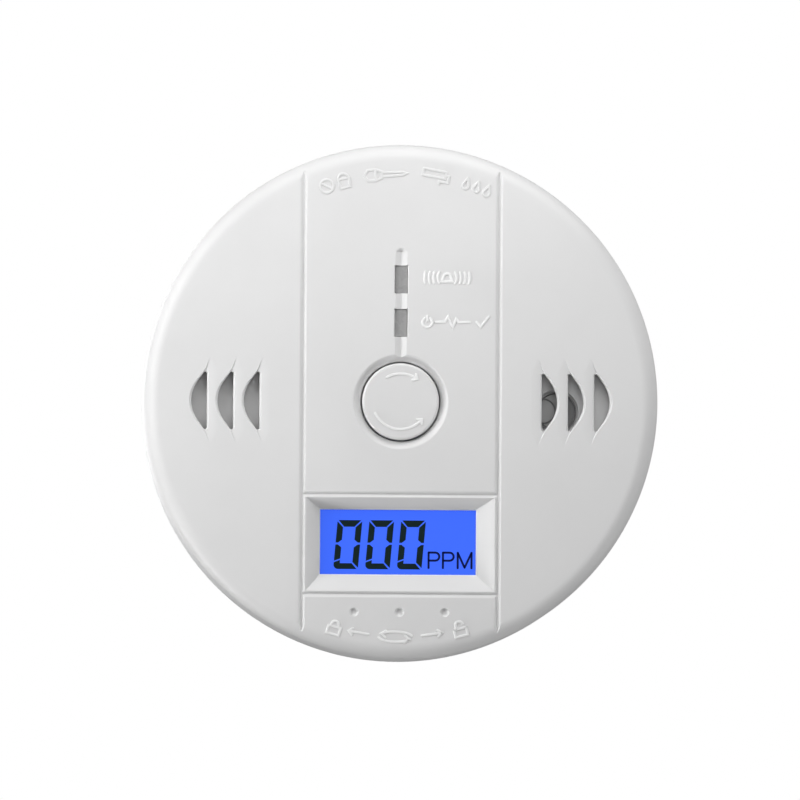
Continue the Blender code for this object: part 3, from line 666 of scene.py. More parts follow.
def turn_mark():
    """Two curved arrows chasing each other, drawn wide."""
    paths = []
    for side in (1, -1):
        turns = [math.radians(15 + 12 * i) for i in range(12)]
        sweep = [(side * 3.3 * math.cos(turn), side * 1.0 * math.sin(turn)) for turn in turns]
        tip_x, tip_y = sweep[-1]
        barbs = [(tip_x + side * x, tip_y + side * y) for x, y in ((0.95, 0.55), (0.8, -0.7))]
        paths += [sweep, [barbs[0], (tip_x, tip_y), barbs[1]]]
    return paths


def arc_arrow(radius, start, end):
    """An arrow along an arc from one angle to another."""
    shaft = arc((0, 0), radius, start, end, 18)
    back = end + (7 if end < start else -7)
    head = [on_circle((0, 0), radius + 0.65, back), shaft[-1], on_circle((0, 0), radius - 0.65, back)]
    return [shaft, head]


def face_marks():
    """The raised marks: no paint above, what the lamps mean, and which way to turn below."""
    paths = []
    paths += on_arc(crossed_ring_mark(), UPPER_MARKS, 109.3)
    paths += on_arc(pot_mark(), UPPER_MARKS, 104.8)
    paths += on_arc(brush_mark(), UPPER_MARKS, 94)
    paths += on_arc(roller_mark(), UPPER_MARKS, 79.6)
    for angle in (73.6, 70.8, 68):
        paths += on_arc(drop_mark(), UPPER_MARKS, angle)
    paths += moved(bell_mark(), (8.9, LAMPS["alarm"].y + 0.35))
    paths += moved(pulse_mark(), (10.6, LAMPS["operate"].y + 0.2))
    paths += under_arc(padlock_mark(False), 45.8, -106)
    paths += under_arc(arrow_mark(3.9, True), 45.6, -100)
    paths += under_arc(turn_mark(), 45.7, -91)
    paths += under_arc(arrow_mark(3.9, False), 45.6, -82)
    paths += under_arc(padlock_mark(True), 45.8, -75)
    return [raised(f"mark_{i}", path, COVER.front - 0.01) for i, path in enumerate(paths)]


# --- The front cover ---

GROOVE_X = 19.0
GROOVE_Y = (-18.05, -37.4)
WINDOW = (30.2, 12.5)
WINDOW_CENTRE = (GLASS.x + 0.1, GLASS.y)
FUNNEL = (36.4, 18.0)
FUNNEL_CENTRE = (0.05, -27.7)
FUNNEL_DEPTH = 2.3
LIP_WIDTH = 0.28
COLLAR = (40, 22)
COLLAR_BACK = 34.0
DISH_RADIUS = 9.15
BUTTON_HOLE = 7.75
LAMP_SLOT = (2.5, 5.4)
CHANNEL_TOP = 29.8
CASE_SCREWS = [place(f"case_screw_{i}") for i in range(1, 5)]
BOARD_SCREWS = [place(f"pcb_screw_{i}") for i in range(1, 5)]

# The vents. A vent's outer edge leans in further and further up to VENT_BOWED from its middle, then
# runs straight past the slot's tip, and bends up into a fading crease.
VENT_STRAIGHT_X = (27.4, 32.5, 37.6)
VENT_WIDTH = 3.05
VENT_LEAN = 36
VENT_BOWED = 4.0
VENT_STRAIGHT = 5.3
VENT_TAIL = 6.6
VENT_TAIL_LEAN = 19
VENT_TIP = 0.36
SCOOP_REACH = 2.0
SCOOP_DEPTH = 0.9
SCOOP_HALF_HEIGHT = 9.2


def groove(name, start, end, across):
    """A V with soft shoulders and a soft floor, along the line from start to end."""
    section = [(0.9, 0.3), (0.72, 0.004), (0.58, -0.035), (0.47, -0.11), (0.12, -0.46), (0.04, -0.5)]
    section += [(-x, z) for x, z in reversed(section)]
    rings = []
    for x, y in (start, end):
        rings.append([(x + u * across[0], y + u * across[1], FACE + z) for u, z in section])
    return loft(name, rings)


def grooves():
    reach = CASE_RADIUS
    tools = []
    for side in (1, -1):
        x = side * GROOVE_X
        tools.append(groove(f"upright_{side}", (x, -reach), (x, reach), (1, 0)))
    for y in GROOVE_Y:
        tools.append(groove(f"level_{y}", (-GROOVE_X - 0.05, y), (GROOVE_X + 0.05, y), (0, 1)))
    return tools


def dish():
    shoulder = [(DISH_RADIUS + grow, FACE + z) for grow, z in
                ((0.4, 0.4), (0.2, 0.004), (0.05, -0.03), (-0.12, -0.12), (-0.28, -0.27), (-0.45, -0.47))]
    floor = [(BUTTON_HOLE + grow, FACE + z) for grow, z in
             ((0.5, -0.92), (0.28, -1.1), (0.1, -1.26), (0, -1.48), (0, -6))]
    return turned("dish", [(0, FACE + 0.4), *shoulder, *floor, (0, FACE - 6)], steps=144)


def channel():
    """The V that runs up from the dish through the lamp windows, with a hipped top end."""
    half = 1.12
    deep = 0.55
    bottom = DISH_RADIUS - 1
    hip = 0.66

    def ring(y, share):
        section = [(half + 0.3, 0.3), (half + 0.08, 0.004)]
        section += [(half - 0.1, -0.05 * share), (0.1, -deep * share)]
        section += [(-x, z) for x, z in reversed(section)]
        return [(x * (1 if z > 0 else 0.4 + 0.6 * share), y, FACE + z) for x, z in section]

    return loft("channel", [ring(bottom, 1), ring(CHANNEL_TOP - hip, 1), ring(CHANNEL_TOP, 0.02)])


def flared(name, outline, low, flare=0.22):
    """A hole with a rounded upper edge."""
    shares = ((1.15, 0.4), (1, 0.004), (0.55, -0.05), (0.2, -0.15), (0, -0.34))
    levels = [(flare * share, FACE + z) for share, z in shares]
    return layered(name, outline, [*levels, (0, low)])


def lamp_window(name):
    pipe = LAMPS[name]

    def outline(grow):
        return rounded_rectangle(grown(LAMP_SLOT, 2 * grow), pipe.at, 0.12 + grow)

    return flared(f"{name}_window", outline, FACE - 4)


def funnel():
    """The recess round the display: mitred slopes down to a window with a steep lip."""

    def ring(share, grow, z):
        """A square-cornered ring between the window (share 0) and the funnel's mouth (share 1)."""
        size = [w + (f - w) * share + 2 * grow for w, f in zip(WINDOW, FUNNEL)]
        centre = [w + (f - w) * share for w, f in zip(WINDOW_CENTRE, FUNNEL_CENTRE)]
        outline = rounded_rectangle(size, centre, 0.05, 1)
        return [(x, y, FACE + z) for x, y in outline]

    mouth = [ring(1, grow, z) for grow, z in ((0.6, 0.4), (0.42, 0.004), (0.22, -0.03), (0.02, -0.11))]
    slope = [ring(0.9, 0.0, -0.3), ring(0, LIP_WIDTH + 0.02, 0.02 - FUNNEL_DEPTH)]
    lip = [ring(0, grow, z - FUNNEL_DEPTH) for grow, z in ((LIP_WIDTH, 0), (0.02, -0.53), (0, -0.6))]
    return loft("funnel", [*mouth, *slope, *lip, ring(0, 0, -8)])


def vent_lean(y):
    """How far a vent's outer edge leans in at a height, in degrees."""
    height = min(abs(y), VENT_TAIL)
    lean = VENT_LEAN * min(1, height / VENT_BOWED)
    bent = max(0, height - VENT_STRAIGHT) / (VENT_TAIL - VENT_STRAIGHT)
    return lean + (VENT_TAIL_LEAN - VENT_LEAN) * bent


def vent_edge(y):
    """How far out a vent's outer edge is at a height: its lean, summed up from the middle."""
    steps = 60
    step = abs(y) / steps
    leans = [vent_lean((i + 0.5) * step) for i in range(steps)]
    return VENT_WIDTH - sum(step * math.tan(math.radians(lean)) for lean in leans)


def crescent_points():
    """A slot's outline, from its lower tip up its outer edge and down its straight one: places and
    outward directions, measured from the middle of the straight edge."""
    tip_y = VENT_BOWED
    while vent_edge(tip_y) > VENT_TIP * (1 + math.cos(math.radians(vent_lean(tip_y)))):
        tip_y += 0.02
    lean = vent_lean(tip_y)
    rows = 24
    points = []
    for row in range(rows + 1):
        y = tip_y * (2 * row / rows - 1)
        turn = math.copysign(math.radians(vent_lean(y)), y)
        points.append((vent_edge(y), y, math.cos(turn), math.sin(turn)))
    centre_y = tip_y - VENT_TIP * math.sin(math.radians(lean))
    for y, start, end in ((centre_y, lean, 180), (-centre_y, 180, 360 - lean)):
        places = arc((VENT_TIP, y), VENT_TIP, start, end, 8)
        outward = arc((0, 0), 1, start, end, 8)
        points += [(*at, *out) for at, out in zip(places, outward)]
    return points[:-1]


def vent_slot(side, straight_x):
    """The hole itself, rounded over along its straight edge and its lower end."""
    points = crescent_points()
    rings = []
    for flare, z in ((0.4, 0.5), (0.4, -0.2), (0.27, -0.25), (0.1, -0.38), (0, -0.66), (0, -4)):
        ring = []
        for x, y, out_x, out_y in points:
            push = flare * max(0.0, -out_x, -0.35 * out_y) - 0.02
            ring.append((side * (straight_x + x + out_x * push), y + out_y * push, FACE + z))
        rings.append(ring)
    return loft(f"slot_{side}_{straight_x}", rings)


def vent_scoop(side, straight_x):
    """The hollow in front of a slot. Its floor rises from the step along the outer edge towards the
    middle of the face, and both fade out above and below."""
    rows = 44
    step_section = ((1.35, 0.8), (1.3, 0.006), (1.1, -0.06), (0.86, -0.17), (0.12, -0.92), (0.05, -1))
    rings = []
    for row in range(rows + 1):
        y = SCOOP_HALF_HEIGHT * (2 * row / rows - 1)
        share = max(0.0, math.cos(math.pi / 2 * y / SCOOP_HALF_HEIGHT))
        depth = SCOOP_DEPTH * share**1.7
        outer = vent_edge(y)
        width = (VENT_WIDTH + SCOOP_REACH) * share**1.2 + 0.1
        ring = []
        for draft, level in step_section:
            z = level * depth + 0.01 if level < 0 else level + 0.01
            ring.append((outer + 0.38 * draft * depth / SCOOP_DEPTH, z))
        for i in range(1, 11):
            rise = (1 - i / 10) ** 1.5
            ring.append((outer - width * i / 10, 0.01 - depth * rise))
        ring.append((outer - width - 0.1, 0.8))
        rings.append([(side * (straight_x + x), y, FACE + z) for x, z in ring])
    return loft(f"scoop_{side}_{straight_x}", rings)


def dimple(x):
    profile = [(0, 0.3), (1.08, 0.3), (0.96, 0.004), (0.86, -0.03), (0.78, -0.1)]
    profile += [(0.78 * math.cos(a), -0.1 - 0.4 * math.sin(a)) for a in
                (math.radians(15 * i) for i in range(1, 6))]
    profile.append((0, -0.5))
    heights = [(radius, FACE + z) for radius, z in profile]
    return turned(f"dimple_{x}", heights, steps=32, at=(x, -40.9))


def cover_shell():
    rim = 3.0
    soft = 0.3
    parting = COVER.back
    inside_top = FACE - WALL
    outer = [(r, z) for r, z in arc((CASE_RADIUS - rim, FACE - rim), rim, 90, 0, 16)]
    foot = arc((CASE_RADIUS - soft, parting + soft), soft, 0, -90, 3)
    inner = [(FLANK_INNER, parting), *arc((FLANK_INNER - 1.5, inside_top - 1.5), 1.5, 0, 90, 5)]
    return turned("cover_shell", [(0, FACE), *outer, *foot, *inner, (0, inside_top)], steps=256)


def front_cover():
    cover = cover_shell()
    into_face = FACE - 1.5
    bosses = [
        cylinders("case_bosses", radius=3, low=23.3, high=into_face, spots=CASE_SCREWS),
        cylinders("board_bosses", radius=2.6, low=25.9, high=into_face, spots=BOARD_SCREWS),
        cylinder("guide", DISH_RADIUS + 0.4, BUTTON.back + 3, into_face, steps=96),
        rounded_block("collar", COLLAR, WINDOW_CENTRE, COLLAR_BACK, into_face),
    ]
    join(cover, merged("bosses", bosses))
    pilots = [
        cylinders("case_pilots", radius=1.6, low=22, high=33, spots=CASE_SCREWS),
        cylinders("board_pilots", radius=1.3, low=25, high=31.5, spots=BOARD_SCREWS),
    ]
    cut(cover, merged("pilots", pilots))

    cut(cover, *grooves(), dish(), channel(), lamp_window("alarm"), lamp_window("operate"), funnel())
    for side in (1, -1):
        for straight_x in VENT_STRAIGHT_X:
            cut(cover, vent_scoop(side, straight_x))
        cut(cover, merged(f"slots_{side}", [vent_slot(side, x) for x in VENT_STRAIGHT_X]))
    cut(cover, merged("dimples", [dimple(x) for x in (-8.8, 0, 8.8)]))
    for mark in face_marks():
        join(cover, mark)
    show(cover, "front_cover", 28, FACE)

    def gets_painted_highlight(middle):
        """Painted highlight: the marks, apart from the faint ones along the top, and the lip round the
        window, get a whiter finish that stands in for the light they catch.
        """
        if middle.z > FACE + 0.02:
            return middle.y < UPPER_MARKS - 6
        by_window = all(abs(m - c) < w / 2 + LIP_WIDTH for m, c, w in zip(middle, WINDOW_CENTRE, WINDOW))
        return by_window and -0.6 < middle.z - (FACE - FUNNEL_DEPTH) < 0

    paint(cover, "highlight_white", gets_painted_highlight)
    return cover


# --- The button, the lamps and the display ---


def test_button():
    top = BUTTON.front - 0.1
    radius = 7.46
    edge = 0.55
    flange = BUTTON.radius
    flange_top = 32.5
    hollow = 6.2
    ceiling = 35.2
    stem = 1.6
    profile = [
        (0, top), *top_edge(radius, top, edge, 8), (radius, flange_top),
        (flange - 0.2, flange_top), (flange, flange_top - 0.2), (flange, flange_top - 1),
        (hollow, flange_top - 1), (hollow, ceiling), (stem, ceiling), (stem, BUTTON.back + 0.3),
        (stem - 0.3, BUTTON.back), (0, BUTTON.back),
    ]
    button = turned("push_button", profile, steps=144)
    paths = arc_arrow(5.4, 120, 54) + arc_arrow(5.4, 205, 320)
    for i, path in enumerate(paths):
        join(button, raised(f"button_mark_{i}", path, top + RELIEF))
    show(button, "test_button", 28, top)
    # Painted highlight: the tops of the button's arrows get the whiter finish, for the light they catch.
    paint(button, "highlight_white", lambda middle: middle.z > top + 0.02)


def light_pipe(name):
    node = f"{name}_light_pipe"
    pipe = LAMPS[name]
    size = grown(LAMP_SLOT, -0.1)
    lens = rounded_block(f"{name}_lamp_window", size, pipe.at, pipe.back, pipe.front, 0.15, 0.12)
    flange = rounded_block("flange", pipe.size, pipe.at, 33.7, 34.6, 0.4, 0.1)
    join(lens, flange)
    show(lens, node)


def zero_segments():
    """The six parts of a seven-segment nought, 4.8 wide and 9.5 high, from its lower left corner."""
    wide = 4.8
    high = 9.5
    side = 1.18
    middle = high / 2 + 0.2
    gap = 0.2
    under = [(0, middle + gap), (0.5, middle + gap), (side, middle + 0.75)]
    over = [(side, middle - 0.75), (0.5, middle - gap)]
    upper = [(0, high - 0.25), *under, (side, high - 1.4)]
    lower_left = [(0, middle - gap), (0, 1.6), (side, 2.05), *over]
    lower_right = [(0, middle - gap), (0, 0.25), (side, 1.35), *over]
    top = [(0.2, high), (1.38, high - 1.28), (wide - 1.38, high - 1.28), (wide - 0.2, high)]
    foot = [(wide - 0.25, 0), (wide - 1.32, 1.12), (side, 1.12), (side, 1.75), (0, 1.3)]
    foot += arc((0.9, 0.9), 0.9, 180, 270, 6)
    mirrored = [[(wide - x, y) for x, y in outline] for outline in (upper, lower_right)]
    return [upper, lower_left, top, foot, *mirrored]


def display():
    front = GLASS.front
    panel = rounded_block("display", GLASS.size, GLASS.at, GLASS.back, front - 0.06)
    foot_y = -32.5
    first_left = -12.85
    pitch = 6.18
    slant = math.tan(math.radians(5))
    digits = []
    for number in range(3):
        left = first_left + pitch * number
        for i, outline in enumerate(zero_segments()):
            slanted = [(left + x + y * slant, foot_y + y) for x, y in outline]
            digits.append(flat_solid(f"segment_{number}_{i}", slanted, front - 0.08, front - 0.01))

    tall = 3.0
    bowl = arc((1.3, tall * 0.74), tall * 0.26, 90, -90, 8)
    letter_p = [[(0, 0), (0, tall)], [(0, tall), *bowl, (0, tall * 0.48)]]
    corners = [(0, 0), (0, tall), (1.34, 0.1), (2.68, tall), (2.68, 0)]
    letter_m = [[near, far] for near, far in zip(corners, corners[1:])]
    unit = []
    for left, paths in ((5.69, letter_p), (8.48, letter_p), (11.35, letter_m)):
        for i, path in enumerate(moved(paths, (left, -32.2))):
            outline = stroke_outline(path, 0.2)
            unit.append(flat_solid(f"unit_{left}_{i}", outline, front - 0.08, front - 0.01))

    shown = show(panel, "lcd_glass")
    shown.data.materials.append(ink("display_segments", (0.0035, 0.011, 0.012)))
    shown.data.materials.append(ink("display_unit", (0.001, 0.003, 0.04)))
    work = bmesh.new()
    work.from_mesh(shown.data)
    for index, parts in ((1, digits), (2, unit)):
        first = len(work.faces)
        layer = merged("layer", parts)
        layer.data.transform(BENCH_TO_WORLD)
        work.from_mesh(layer.data)
        bpy.data.objects.remove(layer)
        work.faces.ensure_lookup_table()
        for face in work.faces[first:]:
            face.material_index = index
    work.to_mesh(shown.data)
    work.free()
    return shown


def keep_light_off(emitter, piece):
    """The emitter lights everything but the piece."""
    unlit = bpy.data.collections.new("unlit")
    unlit.objects.link(piece)
    unlit.collection_objects[0].light_linking.link_state = "EXCLUDE"
    emitter.light_linking.receiver_collection = unlit


# --- Behind the vents ---


def sensor():
    radius = SENSOR.radius
    filter_radius = FILTER.radius
    edge = 0.8
    at = SENSOR.at
    well = SENSOR.front - 0.8
    can = [
        (0, well), (filter_radius + 0.3, well), (filter_radius + 0.3, SENSOR.front - 0.15),
        (filter_radius + 0.45, SENSOR.front), *top_edge(radius, SENSOR.front, edge, 6),
        (radius, SENSOR.back), (0, SENSOR.back),
    ]
    show(turned("sensor_can", can, steps=96, at=at), "co_sensor_body")

    floor_z = FILTER.front - 0.45
    profile = [
        (0, floor_z), (filter_radius - 0.35, floor_z), (filter_radius - 0.2, FILTER.front),
        (filter_radius, FILTER.front - 0.1), (filter_radius, FILTER.back), (0, FILTER.back),
    ]
    disc = turned("sensor_filter", profile, steps=72, at=at)
    lit_side_top = FILTER.front - 0.1
    # A raised plate with a ring groove over the filter's left part; the dark filter shows on the right.
    outline = arc(at, filter_radius - 0.45, 62, 298, 30)
    plate = flat_solid("filter_lit_side", outline, floor_z - 0.1, lit_side_top)
    groove_floor = floor_z + 0.05
    groove_profile = [(2.2, lit_side_top + 1), (2.5, lit_side_top + 1), (2.5, groove_floor), (2.2, groove_floor)]
    cut(plate, turned("lit_side_groove", groove_profile, 48, True, (SENSOR.x - 2.6, SENSOR.y + 0.1)))
    join(disc, plate)
    show(disc, "co_sensor_filter")
    # Painted light: the plate's top is a lighter grey for the light that falls on that side through the
    # vents from the left.
    paint(disc, "filter_lit_side", lambda middle: middle.z > lit_side_top - 0.01 and middle.x < at[0] + 2)


def sounder():
    radius = SOUNDER.radius
    front = SOUNDER.front
    back = SOUNDER.back
    opening = 1
    inner = 9
    ledge = 10.3
    ledge_front = 30
    ceiling = front - 1.2
    cup = [
        (opening, front - 0.1), (opening + 0.2, front), (radius - 2.2, front),
        (radius - 2.0, front - 0.15),
        (radius - 1.7, front - 0.15), (radius - 1.5, front), *top_edge(radius, front, 0.8, 6),
        (radius, back), (ledge, back), (ledge, ledge_front), (inner, ledge_front), (inner, ceiling),
        (opening, ceiling),
    ]
    show(turned("sounder_cup", cup, steps=96, loop=True, at=SOUNDER.at), "sounder_housing")


# --- The rear housing and the wall base ---

LUG_ANGLES = (90, 210, 330)
LUG_HALF_WIDTH = 9
TWIST = 22
STOP_CLEARANCE = 0.6
STOP_WIDTH = 3
PLATE = 2.2
RECESS = 0.8
SCREW_SLOT = 4.0
SCREW_ENTRY = 8.5
SCREW_DROP = 7.0
KEYHOLE_Y = (31, -29)
CURVED_SLOT_RADIUS = 30
REAR_BACK = 7.8
REAR_FLOOR = 9.8
LIP_INNER = 46.2
LIP_OUTER = 47.7
LIP_FRONT = 22.5
SPIGOT_INNER = 42
SPIGOT_OUTER = 43.6
SPIGOT_BACK = 2.9
BASE_RIM_INNER = 46
BASE_RING_INNER = 44
WALL_DISC = 15
BAY = (59, 46)
BAY_LOW = 4.6
BAY_TOP = 20.8
TAIL_SLOT = (1.2, 3)


def rear_shell():
    """The shell, the lip inside the front cover, and the spigot that turns in the wall base."""
    parting = COVER.back - 0.3
    lip = LIP_FRONT - 0.2
    spigot = SPIGOT_BACK + 0.2
    blend = REAR_BACK - 0.4
    profile = [
        (0, REAR_FLOOR), *arc((FLANK_INNER - 1, REAR_FLOOR + 1), 1, -90, 0, 4),
        (FLANK_INNER, parting - 2.5), (LIP_INNER, parting - 1.5), (LIP_INNER, lip),
        (LIP_INNER + 0.2, LIP_FRONT), (LIP_OUTER - 0.2, LIP_FRONT), (LIP_OUTER, lip),
        (LIP_OUTER, parting), *top_edge(CASE_RADIUS, parting, 0.3, 3),
        *foot_edge(CASE_RADIUS, REAR_BACK, 0.8, 6), (SPIGOT_OUTER + 0.4, REAR_BACK),
        *arc((SPIGOT_OUTER + 0.4, blend), 0.4, 90, 180, 3), (SPIGOT_OUTER, spigot),
        (SPIGOT_OUTER - 0.2, SPIGOT_BACK), (SPIGOT_INNER + 0.2, SPIGOT_BACK),
        (SPIGOT_INNER, spigot), *arc((SPIGOT_INNER - 0.4, blend), 0.4, 0, 90, 3), (0, REAR_BACK),
    ]
    return turned("rear_shell", profile, steps=192)


def rear_housing():
    housing = rear_shell()
    bay = rounded_block("bay", grown(BAY, 3), (0, 0), BAY_LOW, BAY_TOP, 2, 0.4)
    posts = cylinders("posts", radius=3.2, low=8.8, high=23, spots=CASE_SCREWS, edge=0.2)
    join(housing, bay, posts)
    gussets = []
    for screw in CASE_SCREWS:
        at = (1.14 * screw.x, 1.14 * screw.y)
        gussets.append(rounded_block("gusset", (4, 1.2), (at[0], screw.y), 9, 19, 0.1, 0.1))
        gussets.append(rounded_block("gusset", (1.2, 4), (screw.x, at[1]), 9, 19, 0.1, 0.1))
    join(housing, *gussets)
    cut(housing, rounded_block("bay_inside", BAY, (0, 0), 2, BAY_TOP - 1.5, 1, 0.5))
    seat = CASE_SCREWS[0].back + 2.1
    rooms = cylinders("head_rooms", radius=2.8, low=7, high=seat, spots=CASE_SCREWS)
    cut(housing, rooms, cylinders("shafts", radius=1.6, low=11, high=24, spots=CASE_SCREWS))
    for angle in LUG_ANGLES:
        start = angle - LUG_HALF_WIDTH
        end = angle + LUG_HALF_WIDTH
        join(housing, sector("lug", 43, 45.6, start, end, low=3.2, high=4.9, edge=0.25))
    for side in (1, -1):
        at = (side * (BAY[0] / 2 - 0.6), -side * 15.2)
        cut(housing, rounded_block("tail_slot", TAIL_SLOT, at, 18, 22, 0.05, 0.02))
    out = CASE_RADIUS + 1
    deep = CASE_RADIUS - 0.35
    tick = [(-0.4, -out), (0.4, -out), (0.15, -deep), (-0.15, -deep)]
    cut(housing, flat_solid("tick", tick, 10.5, 16.5))
    show(housing, "rear_housing", 30)


def flared_both_ways(name, outline, flare=0.5):
    """A hole through the wall base, softened at both of its ends."""
    levels = [(flare, -1), (flare, 0), (0.35 * flare, 0.25 * flare), (0, flare)]
    top = PLATE + 0.3
    levels += [(0, top - flare), (0.35 * flare, top - 0.25 * flare), (flare, top), (flare, top + 1)]
    return layered(name, outline, levels)


def keyhole(slot_y):
    """A round entry for the screw's head, with a slot above it for the shank to drop into."""

    def outline(grow):
        entry = SCREW_ENTRY / 2 + grow
        shank = SCREW_SLOT / 2 + grow
        meet = math.degrees(math.acos(shank / entry))
        round_entry = arc((0, slot_y - SCREW_DROP), entry, 180 - meet, 360 + meet, 28)
        return round_entry + arc((0, slot_y), shank, 0, 180, 14)

    return flared_both_ways(f"keyhole_{slot_y}", outline, 0.3)


def curved_outline(middle, half):
    """The outline of a slot that runs along an arc, on one side of the base."""
    start = middle - 13
    end = middle + 13
    outer = arc((0, 0), CURVED_SLOT_RADIUS + half, start, end, 14)
    far_end = arc(on_circle((0, 0), CURVED_SLOT_RADIUS, end), half, end, end + 180, 12)
    inner = arc((0, 0), CURVED_SLOT_RADIUS - half, end, start, 14)
    near_end = arc(on_circle((0, 0), CURVED_SLOT_RADIUS, start), half, start + 180, start + 360, 12)
    return outer[:-1] + far_end + inner[1:-1] + near_end[:-1]


def curved_slot(middle):
    """A slot that lets the base be turned level on its screws."""
    return flared_both_ways(
        f"curved_slot_{middle}", lambda grow: curved_outline(middle, SCREW_SLOT / 2 + grow), 0.3
    )


def base_plate():
    """The plate, its rim, and the ring and the disc that stand on the wall."""
    rim_top = BASE.front
    profile = [
        (0, PLATE), *arc((BASE_RIM_INNER - 0.6, PLATE + 0.6), 0.6, -90, 0, 4),
        (BASE_RIM_INNER, rim_top - 0.3), (BASE_RIM_INNER + 0.3, rim_top),
        *top_edge(BASE.radius, rim_top, 0.4, 4), *foot_edge(BASE.radius, 0, 0.5, 4),
        (BASE_RING_INNER + 0.25, 0), (BASE_RING_INNER + 0.05, 0.08), (BASE_RING_INNER, 0.25),
        *arc((BASE_RING_INNER - 0.3, RECESS - 0.3), 0.3, 0, 90, 3),
        *arc((WALL_DISC + 0.3, RECESS - 0.3), 0.3, 90, 180, 3), (WALL_DISC, 0.25),
        (WALL_DISC - 0.05, 0.08), (WALL_DISC - 0.25, 0), (0, 0),
    ]
    return turned("base_plate", profile, steps=192)


def base_ribs():
    """Ribs from the middle out to the ring, just clear of the wall, and walls round the holes."""
    high = RECESS + 0.5
    ribs = []
    for angle in range(0, 180, 30):
        long_rib = rounded_block(f"rib_{angle}", (89, 1.6), (0, 0), 0.1, high, 0.1, 0.25)
        long_rib.data.transform(Matrix.Rotation(math.radians(angle), 4, "Z"))
        ribs.append(long_rib)
    for slot_y in KEYHOLE_Y:
        ribs.append(cylinder(f"wall_pad_{slot_y}", 9, 0, high, (0, slot_y - SCREW_DROP / 2), 64, 0.25))
    levels = rounded_levels(0.02, high, 0.25)
    for middle in (0, 180):
        ribs.append(layered(
            f"slot_wall_{middle}", lambda grow: curved_outline(middle, SCREW_SLOT / 2 + 2 + grow), levels
        ))
    return ribs


def mounting_base():
    base = base_plate()
    join(base, *base_ribs())
    for slot_y in KEYHOLE_Y:
        join(base, cylinder(f"head_pad_{slot_y}", 4.3, RECESS + 0.6, 2.5, (0, slot_y), 48, 0.1))
    inner = 44
    outer = 46.8
    reach = outer + 0.1
    hook_back = 5.2
    stop_back = 1.8
    for angle in LUG_ANGLES:
        start = angle - LUG_HALF_WIDTH
        end = angle + LUG_HALF_WIDTH
        hook = sector("lug", inner, outer, start, end, hook_back, 6.8, 0.2)
        locked = start - STOP_CLEARANCE
        lock = sector("lock_stop", inner, reach, locked - STOP_WIDTH, locked, stop_back, 6.7, steps=4)
        free = end + TWIST + STOP_CLEARANCE
        unlock = sector("open_stop", inner, reach, free, free + STOP_WIDTH, stop_back, hook_back, steps=4)
        join(base, hook, lock, unlock)
    cut(base, *(keyhole(slot_y) for slot_y in KEYHOLE_Y), curved_slot(0), curved_slot(180))

    # An arrow let into the middle shows which way is up, and round dents show where pins pushed it out.
    arrow = [(0, 9), (6, 2), (2.2, 2), (2.2, -8), (-2.2, -8), (-2.2, 2), (-6, 2)]
    levels = ((1.06, -1), (1.03, 0.02), (0.97, 1))
    cut(base, loft("up_arrow", [[(x * size, y * size, z) for x, y in arrow] for size, z in levels]))
    dents = []
    for i in range(4):
        for radius in (22, 38):
            at = on_circle((0, 0), radius, 45 + 90 * i)
            dents.append(cylinder(f"dent_{radius}_{i}", 1.8, -1, RECESS + 0.2, at))
    cut(base, merged("dents", dents))
    show(base, "mounting_base", 30)


# --- The screws, the cells and their contacts ---


def threaded(name, radius, low, high, at):
    """A screw's shank, up to its tip, with the thread winding round it."""
    sides = 24
    pitch = 0.8
    rows = round(6 * (high - low) / pitch)
    rings = []
    for row in range(rows + 1):
        z = low + (high - low) * row / rows
        taper = 0.6 * max(0, z - (high - 0.8))
        ring = []
        for k in range(sides):
            valley = 1 - abs(2 * ((z / pitch - k / sides) % 1) - 1)
            ring.append((*on_circle(at, radius - taper - 0.28 * valley, 360 * k / sides), z))
        rings.append(ring)
    return loft(name, rings)


def screw(node, head_height, shank_radius):
    """A pan-head screw with a cross recess, its head towards the wall."""
    spot = place(node)
    radius = spot.radius
    seat = spot.back + head_height
    rounding = foot_edge(radius, spot.back, 0.6, 5)
    piece = turned(node, [(0, seat), (radius, seat), *rounding, (0, spot.back)], 40, at=spot.at)
    join(piece, threaded("shank", shank_radius, seat - 0.2, spot.front, spot.at))
    for bar in ((1.1 * radius, 0.6), (0.6, 1.1 * radius)):
        cut(piece, rounded_block("recess", bar, spot.at, spot.back - 1, spot.back + 0.9, 0.05, 0.05))
    show(piece, node)


def battery(number):
    """A cell in its sleeve, with a band at its positive end and bare steel at both ends."""
    node = f"battery_{number}"
    spot = place(node)
    side = math.copysign(1, spot.x)
    radius = spot.height / 2
    shoulder = spot.width - 1.4
    roll = 0.6
    band = 37
    profile = [
        (0, spot.width), *arc((2.3, spot.width - 0.4), 0.4, 90, 0, 4), (2.8, shoulder - roll),
        *arc((radius - roll, shoulder - roll), roll, 180, 0, 10), (radius, band),
        (radius - 0.02, band - 0.1), *arc((radius - roll, roll), roll, 0, -180, 10), (4.6, roll),
        (4.4, 0), (0, 0),
    ]
    cell = turned(node, profile, 72)
    foot = Vector((spot.x - side * spot.width / 2, spot.y, (spot.back + spot.front) / 2))
    lying = Matrix.Rotation(side * math.radians(90), 4, "Y")
    cell.data.transform(Matrix.Translation(foot) @ lying)
    show(cell, node)

    sleeve = radius - roll - 0.1

    def off_cell_axis(middle):
        return math.hypot(middle.y - foot.y, middle.z - foot.z)

    def in_band(middle):
        return off_cell_axis(middle) > sleeve and side * (middle.x - foot.x) > band

    paint(cell, "tin", lambda middle: off_cell_axis(middle) < sleeve)
    paint(cell, "copper", in_band)


def battery_spring(number):
    """A coil that narrows from its contact to its cell."""
    node = f"battery_spring_{number}"
    spot = place(node)
    cell = place(f"battery_{number}")
    side = math.copysign(1, spot.x)
    wire = 0.35
    reach = spot.width - 2 * wire
    steps = 24
    count = 4 * steps
    route = []
    for i in range(count + 1):
        share = i / count
        turn = math.radians(360 * i / steps)
        radius = 4.4 - 1.6 * share
        x = spot.x + side * reach * (0.5 - share**1.4)
        middle_z = (cell.back + cell.front) / 2
        route.append((x, cell.y + radius * math.cos(turn), middle_z + radius * math.sin(turn)))
    show(tube(node, route, wire, 12), node)


